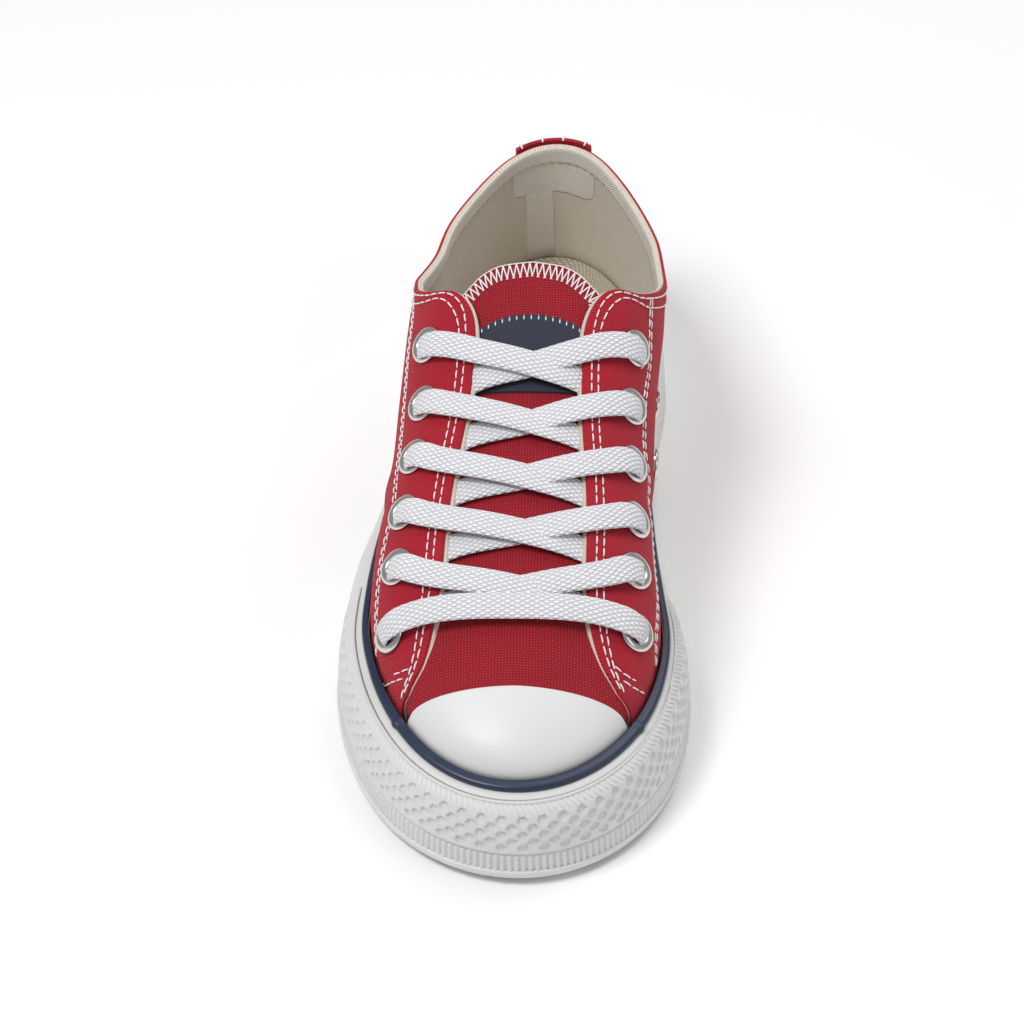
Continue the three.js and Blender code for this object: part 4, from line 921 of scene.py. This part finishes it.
def makeBumper(settings):
    # displacement outwards of a band round the toe: upright ribs, rows of sunk hexagons, leaning ribs
    end = bumperEnd()
    length = evenAngles(-end, end, 10, 13)[1]
    count = int(length / settings["columnPitch"])
    angle, _ = evenAngles(-end, end, count, 13)
    along = (np.linspace(0, length, count) - length / 2)[:, None]
    angle = angle[:, None]
    at = shareAt(angle)
    top, ground = foxingTop(at), groundAt(at)
    low, high = 3.3, 24.75
    rows = int((high - low) / settings["rowPitch"])
    z0 = np.linspace(low, high, rows)[None, :]  # heights at the toe; they follow the ground and the foxing's top
    z = ground * 0.6 * (1 - z0 / 27) + z0 * top / 27
    # upright ribs with round upper ends
    foot = groove(along, settings["ribPitch"]) * smoothStep(settings["ribHigh"] + 0.1, settings["ribHigh"] - 0.7, z0) \
        * smoothStep(settings["ribLow"] - 0.3, settings["ribLow"] + 0.2, z0)
    inFoot = smoothStep(settings["ribHigh"] + 0.35, settings["ribHigh"] + 0.1, z0) \
        * smoothStep(settings["ribLow"] - 0.4, settings["ribLow"] - 0.1, z0)
    depth = -settings["ribDepth"] * (inFoot - np.minimum(foot, inFoot))
    # leaning ribs over the shoulder
    lean = groove(along - settings["lean"] * (z0 - settings["leanLow"]), settings["leanPitch"])
    inLean = smoothStep(settings["leanLow"] - 0.3, settings["leanLow"], z0)
    depth = depth - settings["leanDepth"] * (1 - lean) * inLean * smoothStep(settings["leanHigh"] + 0.2, settings["leanHigh"] - 0.5, z0)
    # sunk hexagons with their points to the sides
    for row, centre in enumerate(settings["cellRows"]):
        pitch = settings["cellPitch"]
        x = (along + pitch * 0.5 * (row % 2)) % pitch - pitch / 2
        h = (z0 - centre) * 1.08
        distance = np.maximum(np.abs(h), np.abs(x) * np.sqrt(3) / 2 + np.abs(h) / 2)
        cell = 1 - smoothStep(settings["cellRadius"] * 0.866 - 0.22, settings["cellRadius"] * 0.866 + 0.05, distance)
        depth = depth - settings["cellDepth"] * cell * (0.8 + 0.2 * np.clip(h / 1.2, -1, 1))
    fade = smoothStep(0, settings["fade"], length / 2 - np.abs(along))
    base = soleReach(angle, valueAt(sideProfile, "reach", z0 / 27))
    outer = ringOf(angle, base + (settings["proud"] + depth) * fade, z)
    inner = ringOf(angle, soleReach(angle, valueAt(sideProfile, "reach", np.minimum(z0 / 27, 0.84))) - 1.9 - 0 * z, z)
    shellPiece("toe_bumper_rubber", outer, inner, finish["rubber"], "rubber_white", replaces=["toe_bumper"], sharp=0)


def makeOutsole():
    # flange all round and a tread of chevron grooves below, from the rim in to the middle line
    angle = evenAngles(0, 2 * np.pi, 421, 10)[0][:-1, None]
    at = shareAt(angle)
    ground, rim = groundAt(at), soleReach(angle, 1)
    flange = last["flange"]
    upper = ringOf(angle, np.array([[1.5]]) + 0 * angle, ground + flange)
    edge = ringOf(angle, rim + np.array([[-0.5, -0.1, 0.0, 0.0, -0.3, -1.0]]),
                  ground + np.array([[flange, flange - 0.15, flange - 0.5, 0.9, 0.35, 0.02]]))
    share = np.linspace(1, 0.0, 60)[None, :, None]
    rimPlan = outline(angle[:, 0], rim[:, 0] - 1.2)[:, None, :]
    ridgeY = rimPlan[..., 1:] * 0.9 + 0.1 * last["shift"]
    spine = np.concatenate([halfBall * valueAt(sections, "centre", shareOfY(ridgeY)), ridgeY], -1)
    plan = spine + (rimPlan - spine) * share
    y = plan[..., 1] + 0.12 * np.abs(plan[..., 0] - 4)
    pattern = groove(y, 9.5, 0.25)
    bottom = np.maximum(groundAt(shareOfY(plan[..., 1])), 0) + 1.4 * (1 - pattern) * smoothStep(1, 0.94, share[..., 0])
    tread = np.concatenate([plan, bottom[..., None]], -1)
    shell = np.concatenate([upper, edge, tread], 1)
    back = shell[:, :1].copy()
    back[..., :2] = spine
    back[..., 2] = ground + flange
    profile = np.concatenate([back, shell], 1)
    railPiece("outsole_tread", profile, finish["sole"], "rubber_sole", replaces=["outsole"], sharp=45)


makeFoxing()
makeStripe()
makeBumper(bumper)
makeOutsole()
print("sole made")

# insole
insole = {"thickness": 3.4, "edge": -1.5, "cup": 4.0, "cupStart": 0.72}


def makeInsole(settings):
    # a plate on the seat, its heel edge drawn up the wall
    angle = evenAngles(0, 2 * np.pi, 301, 0)[0][:-1, None]
    inward = np.array([[0.5, 0.1, 0.0, 0.0, 0.25, 0.9, 2.5, 4.5, 7.0]])
    ring = outline(angle + 0 * inward, settings["edge"] - inward)
    lift = np.array([[0.3, 0.5, 1.0, 2.6, 3.3, 3.4, 3.4, 3.4, 3.4]])
    cup = settings["cup"] * np.clip((shareAt(angle) - settings["cupStart"]) / 0.2, 0, 1)
    rise = cup * np.array([[0, 0, 0, 1, 1, 0.85, 0.5, 0.2, 0.0]])
    share = np.linspace(1, 0, 26)[None, 1:, None]
    rim = ring[:, -1:]
    spineY = rim[..., 1:] * 0.85
    spine = np.concatenate([halfBall * valueAt(sections, "centre", shareOfY(spineY)), spineY], -1)
    plan = np.concatenate([ring, spine + (rim - spine) * share], 1)
    seat = last["seat"] * valueAt(soleSections, "seat", shareOfY(plan[..., 1]))
    z = seat + np.concatenate([lift + rise, np.full((len(angle), 25), settings["thickness"])], 1)
    under = plan[:, :1].copy()
    grid = np.concatenate([plan, z[..., None]], -1)
    bottom = grid[:, -1:].copy()
    bottom[..., 2] = seat[:, -1:] + 0.3
    railPiece("insole_cloth_top", np.concatenate([bottom, grid], 1), finish["insole"], "insole_cloth",
              replaces=["insole"], sharp=0)


makeInsole(insole)
print("insole made")

# eyelets, vents
eyelets = {
    "rows": 6, "first": 8.719, "pitch": 17.5608, "margin": 12.6, "spread": 0.3, "radius": 5.7, "hole": 2.8,
    "ventRadius": 5.0, "ventHeight": 42, "ventPlaces": [-6.1, 21.9],
}


def eyeletSpot(side, row):
    y = eyelets["first"] - row * eyelets["pitch"]
    margin = eyelets["margin"] + eyelets["spread"] * (eyelets["rows"] - 1 - row)
    return throatEdge(side, y) + side * margin, y


def turnedRing(radius, hole):
    # profile of the pressed ring: flange, rolled mouth, barrel through the wall
    return np.array([
        [radius, 0.15], [radius - 0.05, 0.5], [radius - 0.35, 0.85], [radius - 0.9, 1.05], [radius - 1.5, 1.1],
        [hole + 0.75, 1.0], [hole + 0.4, 0.8], [hole + 0.12, 0.4], [hole, -0.2], [hole, -2.6], [hole + 0.5, -2.6],
        [hole + 0.5, 0.1]])


def placeRing(name, point, normal, radius, node):
    profile = turnedRing(radius, eyelets["hole"])
    turn = np.linspace(0, 2 * np.pi, 48, endpoint=False)[:, None]
    normal = np.asarray(normal) / np.linalg.norm(normal)
    first = np.cross(normal, [0, 1, 0])
    first /= np.linalg.norm(first)
    second = np.cross(normal, first)
    grid = (point + profile[None, :, :1] * (np.cos(turn)[..., None] * first + np.sin(turn)[..., None] * second)
            + (profile[None, :, 1:] + 0.35) * normal)
    railPiece(name, grid, finish["nickel"], "eyelet_nickel", replaces=[node], sharp=60)


def ventFrame(place):
    height = eyelets["ventHeight"]

    def wall(y, z):
        at = shareOfY(y)
        _, foot, ridge, length, power, swell = ribParts(-np.arccos(1 - 2 * at), quarterOut)
        top = last["instep"] * valueAt(sections, "top", shareOfY(y)) + quarterOut
        share = (z - foxingTop(at)) / (top - foxingTop(at))
        return ridge[0] + (foot[0] - ridge[0]) * reachAt(share, power, swell)

    slopeY = (wall(place + 1, height) - wall(place - 1, height)) / 2
    slopeZ = (wall(place, height + 1) - wall(place, height - 1)) / 2
    return np.array([float(wall(place, height)), place, height]), np.array([1.0, -float(slopeY), -float(slopeZ)])


for side, name in ((-1, "lateral"), (1, "medial")):
    for row in range(eyelets["rows"]):
        point, normal = surfaceFrame(*(np.array(v) for v in eyeletSpot(side, row)), quarterOut)
        placeRing(f"ring_{name}_{row + 1}", point, normal, eyelets["radius"], f"eyelet_{name}_{row + 1}")
for number, place in enumerate(eyelets["ventPlaces"]):
    placeRing(f"vent_ring_{number + 1}", *ventFrame(place), eyelets["ventRadius"], f"vent_{number + 1}")
print("eyelets made")

# lace
lace = {"width": 8.0, "thickness": 1.7, "under": -1.25}  # mm; under is the lift over the last of a strand at its start


def through(stops, count):
    # centripetal curve through the stops, sampled evenly by its own parameter
    stops = np.asarray(stops, float)
    gap = np.sqrt(np.linalg.norm(np.diff(stops[:, :3], axis=0), axis=-1))
    knots = np.concatenate([[0], np.cumsum(gap)])
    slope = np.gradient(stops, knots, axis=0)
    t = np.linspace(0, knots[-1], count)
    i = np.clip(np.searchsorted(knots, t) - 1, 0, len(knots) - 2)
    span = (knots[i + 1] - knots[i])[:, None]
    s = (t - knots[i])[:, None] / span
    return ((2 * s**3 - 3 * s**2 + 1) * stops[i] + (s**3 - 2 * s**2 + s) * span * slope[i]
            + (3 * s**2 - 2 * s**3) * stops[i + 1] + (s**3 - s**2) * span * slope[i + 1])


def strandGrid(stops, count=70, sides=18):
    # a flat oval profile carried along the path; each stop is x, y, lift over the last, width, thickness
    path = through(stops, count)
    point, normal = surfaceFrame(path[:, 0], path[:, 1], 0.0)
    flat = np.gradient(point, axis=0)
    flat /= np.linalg.norm(flat, axis=-1, keepdims=True)
    centre = point + normal * path[:, 2:3]
    forward = np.gradient(centre, axis=0)
    forward /= np.linalg.norm(forward, axis=-1, keepdims=True)
    across = np.cross(flat, normal)
    across /= np.linalg.norm(across, axis=-1, keepdims=True)
    up = np.cross(across, forward)
    turn = np.linspace(0, 2 * np.pi, sides, endpoint=False)
    wide = np.sign(np.cos(turn)) * np.abs(np.cos(turn)) ** 0.75
    thick = np.sign(np.sin(turn)) * np.abs(np.sin(turn)) ** 0.8
    grid = (centre[:, None] + across[:, None] * (wide[None, :, None] * path[:, None, 3:4] / 2)
            + up[:, None] * (thick[None, :, None] * path[:, None, 4:5] / 2))
    along = np.concatenate([[0], np.cumsum(np.linalg.norm(np.diff(centre, axis=0), axis=-1))])
    around = np.concatenate([[0], np.cumsum(np.linalg.norm(np.diff(grid[count // 2], axis=0), axis=-1))])
    uv = np.stack(np.broadcast_arrays(along[:, None], around[None, :]), -1)
    return grid, uv


def closeTube(grid, first):
    # faces of a tube, with both ends shut by a ladder of quads
    rows, sides = grid.shape[:2]
    faces = gridFaces(rows, sides, wrapColumns=True)
    j = np.arange(sides // 2 - 1)
    cap = np.stack([j, j + 1, sides - 2 - j, sides - 1 - j], -1)
    return np.concatenate([faces, cap, (cap + (rows - 1) * sides)[:, ::-1]]) + first


def strandStops(start, row, onTop):
    # out from under one edge of the throat, over the other, and down into its eyelet
    end = -start
    x, y = eyeletSpot(end, row)
    pitch = eyelets["pitch"]
    startY = y - pitch * 0.84
    startX, edgeX = throatEdge(start, startY), throatEdge(end, y - 6)
    middleX = (throatEdge(-1, y) + throatEdge(1, y)) / 2
    low = lace["under"] + (1.1 if row == 0 else 0)
    rise = 1.75 if onTop else 0.0
    w, t = lace["width"], lace["thickness"]
    return [
        (startX + start * 3.5, startY - 1.2, -2.1, w, t),
        (startX - start * 2.4, startY, low + 0.1, w, t),
        (middleX, y - 0.66 * pitch, low + 0.4 + rise, w, t),
        (edgeX - end * 2.2, y - 8.0, 2.4 + 0.15 * rise, w, t),
        (edgeX + end * 4.5, y - 5.2, 3.3, w, t),
        (x - end * 3.6, y - 2.2, 4.1, w, t),
        (x - end * 0.6, y - 0.8, 3.4, w * 0.9, t),
        (x + end * 0.9, y - 0.2, 1.6, w * 0.78, t),
        (x + end * 1.4, y, -1.8, w * 0.62, t),
        (x + end * 1.4, y, -4.4, w * 0.56, t),
    ]


def makeLaces():
    for row in range(eyelets["rows"] - 1):
        parts, uvs, faces = [], [], []
        for start, onTop in ((-1, False), (1, True)):
            grid, uv = strandGrid(strandStops(start, row, onTop))
            faces.append(closeTube(grid, sum(len(p) for p in parts)))
            parts.append(grid.reshape(-1, 3))
            uvs.append(uv.reshape(-1, 2))
        makePiece(f"lace_strands_{row + 1}", np.concatenate(parts), np.concatenate(faces), np.concatenate(uvs),
                  finish["lace"], "lace_white", replaces=[f"lace_cross_{row + 1}"], sharp=0)
    (ax, ay), (bx, by) = eyeletSpot(-1, 5), eyeletSpot(1, 5)
    w, t = lace["width"], lace["thickness"]
    half = [(1.4, 0, -4.4, 0.56), (1.4, 0, -1.8, 0.62), (0.9, 0.1, 1.6, 0.78), (-0.6, 0.4, 3.4, 0.9),
            (-3.6, 0.5, 4.1, 1), (-9, 0.5, 3.7, 1)]
    stops = [(ax - along, ay + back, lift, w * wide, t) for along, back, lift, wide in half]
    stops += [((ax + bx) / 2, ay - 0.2, 2.5, w, t)]
    stops += [(bx + along, by + back, lift, w * wide, t) for along, back, lift, wide in half[::-1]]
    grid, uv = strandGrid(stops, 110)
    makePiece("lace_bar_strand", grid.reshape(-1, 3), closeTube(grid, 0), uv.reshape(-1, 2), finish["lace"],
              "lace_white", replaces=["lace_bar"], sharp=0)


makeLaces()
print("laces made")

# tongue label
label = {"front": -8.98, "back": 13.02, "bow": 5, "lap": 1.6}


def makeLabel(settings):
    # ribbon patch on the tongue: its back edge is an arc, its sides pass under the quarters
    s = np.linspace(-1, 1, 61)[:, None]
    t = np.linspace(0, 1, 31)[None, :]
    y = settings["front"] + (settings["back"] - settings["bow"] * s**2 - settings["front"]) * t
    lateral, medial = throatEdge(-1, y) - settings["lap"], throatEdge(1, y) + settings["lap"]
    x = (lateral + medial) / 2 + s * (medial - lateral) / 2
    outer = np.stack(np.broadcast_arrays(x, y, overLast(x, y, tongueOut + 0.75)), -1)
    inner = np.stack(np.broadcast_arrays(x, y, overLast(x, y, tongueOut + 0.1)), -1)
    shellPiece("label_ribbon", outer, inner, finish["ribbon"], "label_navy", replaces=["tongue_label"], sharp=60)


makeLabel(label)
print("label made")

# heel strip
heelStrip = {"width": 25, "outer": 2.6, "inner": 1.3, "proud": 0.9}


def makeHeelStrip(settings):
    # strip over the back seam, from the stripe to just above the collar
    angle = heelAngles(-settings["width"] / 2, settings["width"] / 2, 41, settings["outer"])
    limit = np.interp(angle, quarterAngles, quarterLimit)

    def grid(out, lift):
        top = limit + lift / perRise(angle, limit, out)
        return lastPoint(angle[:, None], top[:, None] * np.linspace(0.0, 1, 60)[None, :], out)

    outer = np.concatenate([grid(settings["outer"], settings["proud"] - 0.4), grid(2.1, settings["proud"])[:, -1:]], 1)
    inner = grid(settings["inner"], settings["proud"])
    inner = np.concatenate([inner, inner[:, -1:]], 1)
    shellPiece("heel_strip_cloth", outer, inner, finish["canvas"], "canvas_red", replaces=["heel_strip"], sharp=50)


makeHeelStrip(heelStrip)
print("heel strip made")

# stitching
stitches = {
    "pitch": 3.4, "length": 2.75, "width": 0.5, "bow": 0.22, "twin": 0.8,
    "throat": (2.6, 4.9), "collar": (2.0, 5.2),  # mm below the edge
    "lockPitch": 1.0, "lockDepth": 3.8,
}
quarterTree = BVHTree.FromObject(quarterPiece, bpy.context.evaluated_depsgraph_get())


def onQuarters(points):
    # nearest places on the quarters' outside, and the directions out of it
    found = [quarterTree.find_nearest(Vector(point * mm)) for point in points]
    return np.array([hit[0][:] for hit in found]) / mm, np.array([hit[1][:] for hit in found])


def makeStrokes(name, starts, ends, normals, material, slot, width, bow):
    # short threads between pairs of points, bowed out of the cloth and thinner at both ends
    t = np.array([0, 0.1, 0.35, 0.65, 0.9, 1.0])
    fat = np.array([0.4, 0.85, 1, 1, 0.85, 0.4]) * width / 2
    turn = np.linspace(0, 2 * np.pi, 6, endpoint=False)
    along = ends - starts
    across = np.cross(along, normals)
    across /= np.linalg.norm(across, axis=-1, keepdims=True)
    up = np.cross(across, along)
    up /= np.linalg.norm(up, axis=-1, keepdims=True)
    centre = starts[:, None] + along[:, None] * t[:, None] + up[:, None] * (bow * (1 - (2 * t - 1) ** 2))[:, None]
    ring = np.cos(turn)[:, None] * across[:, None] + np.sin(turn)[:, None] * up[:, None]
    grid = centre[:, :, None] + fat[:, None, None] * ring[:, None]
    endFaces = np.array([[0, 1, 2, 3], [0, 3, 4, 5]])
    one = np.concatenate([gridFaces(6, 6, wrapColumns=True), endFaces, endFaces[:, ::-1] + 30])
    faces = one[None] + 36 * np.arange(len(starts))[:, None, None]
    makePiece(name, grid.reshape(-1, 3), faces.reshape(-1, 4), np.zeros((grid.size // 3, 2)), material, slot, sharp=0)


def sewn(path, aside=0.0, lift=0.08):
    # the stitches of one row: where each comes out of the cloth and goes in again
    line, normal = onQuarters(evenPath(path, 0.8))
    for _ in range(6):
        normal[1:-1] = (normal[:-2] + normal[1:-1] + normal[2:]) / 3
    along = np.gradient(line, axis=0)
    across = np.cross(along, normal)
    line = line + aside * across / np.linalg.norm(across, axis=-1, keepdims=True)
    length = np.concatenate([[0], np.cumsum(np.linalg.norm(np.diff(line, axis=0), axis=-1))])
    first = np.arange(0, length[-1] - stitches["length"], stitches["pitch"])
    spots = [np.stack([np.interp(at, length, line[:, k]) for k in range(3)], -1)
             for at in (first, first + stitches["length"])]
    (start, out), (end, _) = onQuarters(spots[0]), onQuarters(spots[1])
    return start + out * lift, end + out * lift, out


def makeSeams(settings):
    rows = []
    for path in panelSeams.values():
        rows += [sewn(path, settings["twin"]), sewn(path, -settings["twin"])]
    rows += [sewn(path) for path in frontBars]
    edge = lastPoint(quarterAngles, quarterLimit, quarterOut)
    back = smoothStep(8, 16, edge[:, 1])
    middle = halfBall * valueAt(sections, "centre", 1.0)
    keep = (edge[:, 1] > -96) & ~((edge[:, 1] > 90) & (np.abs(edge[:, 0] - middle) < heelStrip["width"] / 2))
    for number in (0, 1):
        below = settings["throat"][number] * (1 - back) + settings["collar"][number] * back
        line = quarterGrid(quarterOut, -below, rows=2)[:, -1]
        turns = np.flatnonzero(np.diff(keep.astype(int))) + 1
        rows += [sewn(part) for part, here in zip(np.split(line, turns), np.split(keep, turns))
                 if here[0] and len(part) > 9]
    starts, ends, normals = (np.concatenate([row[k] for row in rows]) for k in range(3))
    makeStrokes("seam_stitches", starts, ends, normals, finish["thread"], "lace_white",
                settings["width"], settings["bow"])


def makeOverlock(settings):
    # zigzag over the tongue's raw edge, with a chain of thread along the edge itself
    line = evenPath(tongueEdge, settings["lockPitch"])[:, :2]
    along = np.gradient(line, axis=0)
    along /= np.linalg.norm(along, axis=-1, keepdims=True)
    inner = line + settings["lockDepth"] * np.stack([along[:, 1], -along[:, 0]], -1)
    outerPoint, normal = surfaceFrame(line[:, 0], line[:, 1], tongueOut)
    innerPoint, _ = surfaceFrame(inner[:, 0], inner[:, 1], tongueOut)
    outerPoint, innerPoint = outerPoint + normal * 0.15, innerPoint + normal * 0.15
    even = (np.arange(len(line)) % 2 == 0)[:, None]
    zigzag = np.where(even, outerPoint, innerPoint)
    loop = 0.22 * (innerPoint[2:] - innerPoint[:-2])[::2]  # small turns of thread at the inner ends
    turn = innerPoint[1:-1][::2]
    starts = np.concatenate([zigzag[:-1], outerPoint[:-1], turn - loop])
    ends = np.concatenate([zigzag[1:], outerPoint[1:], turn + loop])
    normals = np.concatenate([normal[:-1], normal[:-1], normal[1:-1][::2]])
    makeStrokes("overlock_thread", starts, ends, normals, finish["thread"], "lace_white", 0.45, 0.12)


def makeLabelStitches(settings):
    s = np.linspace(-0.9, 0.9, 17)
    y = label["back"] - label["bow"] * s**2 - 0.5
    lateral, medial = throatEdge(-1, y) - label["lap"], throatEdge(1, y) + label["lap"]
    x = (lateral + medial) / 2 + s * (medial - lateral) / 2
    outer, normal = surfaceFrame(x, y + 1.0, tongueOut + 0.2)
    inner, _ = surfaceFrame(x, y - 1.0, tongueOut + 0.9)
    makeStrokes("label_stitches", inner, outer, normal, finish["thread"], "lace_white", 0.4, 0.1)


def makeHeelStitches(settings):
    # four bars over the top edge of the heel strip, and a row near the lower edge of the lining's band
    angle = heelAngles(-11, 11, 4, 2.6)
    limit = np.interp(angle, quarterAngles, quarterLimit)
    each = perRise(angle, limit, 2.6)
    foot, edge = lastPoint(angle, limit - 3.0 / each, 2.75), lastPoint(angle, limit + 1.15 / each, 2.75)
    inner = lastPoint(angle, limit + 1.15 / each, 0.9)
    back, upward = np.array([[0, 1.0, 0]] * 4), np.array([[0, 0, 1.0]] * 4)
    makeStrokes("heel_tab_stitches", np.concatenate([foot, edge]), np.concatenate([edge, inner]),
                np.concatenate([back, upward]), finish["thread"], "lace_white", 0.75, 0.1)
    near = quarterAngles[(lastPoint(quarterAngles, quarterLimit, 0)[:, 1] > 30)]
    limit = np.interp(near, quarterAngles, quarterLimit)
    line = lastPoint(near, limit - (liningLayers["band"] - 0.9) / perRise(near, limit, -1.7), -1.72)
    length = np.concatenate([[0], np.cumsum(np.linalg.norm(np.diff(line, axis=0), axis=-1))])
    first = np.arange(0, length[-1] - 2.2, 2.9)
    start, end = (np.stack([np.interp(first + more, length, line[:, k]) for k in range(3)], -1) for more in (0, 2.2))
    inward = np.stack([3 - start[:, 0], 45 - start[:, 1], 30 + 0 * first], -1)
    inward /= np.linalg.norm(inward, axis=-1, keepdims=True)
    makeStrokes("lining_stitches", start, end, inward, finish["cream"], "insole_cloth", 0.4, 0.15)


makeSeams(stitches)
makeOverlock(stitches)
makeLabelStitches(stitches)
makeHeelStitches(stitches)
print("stitches made")
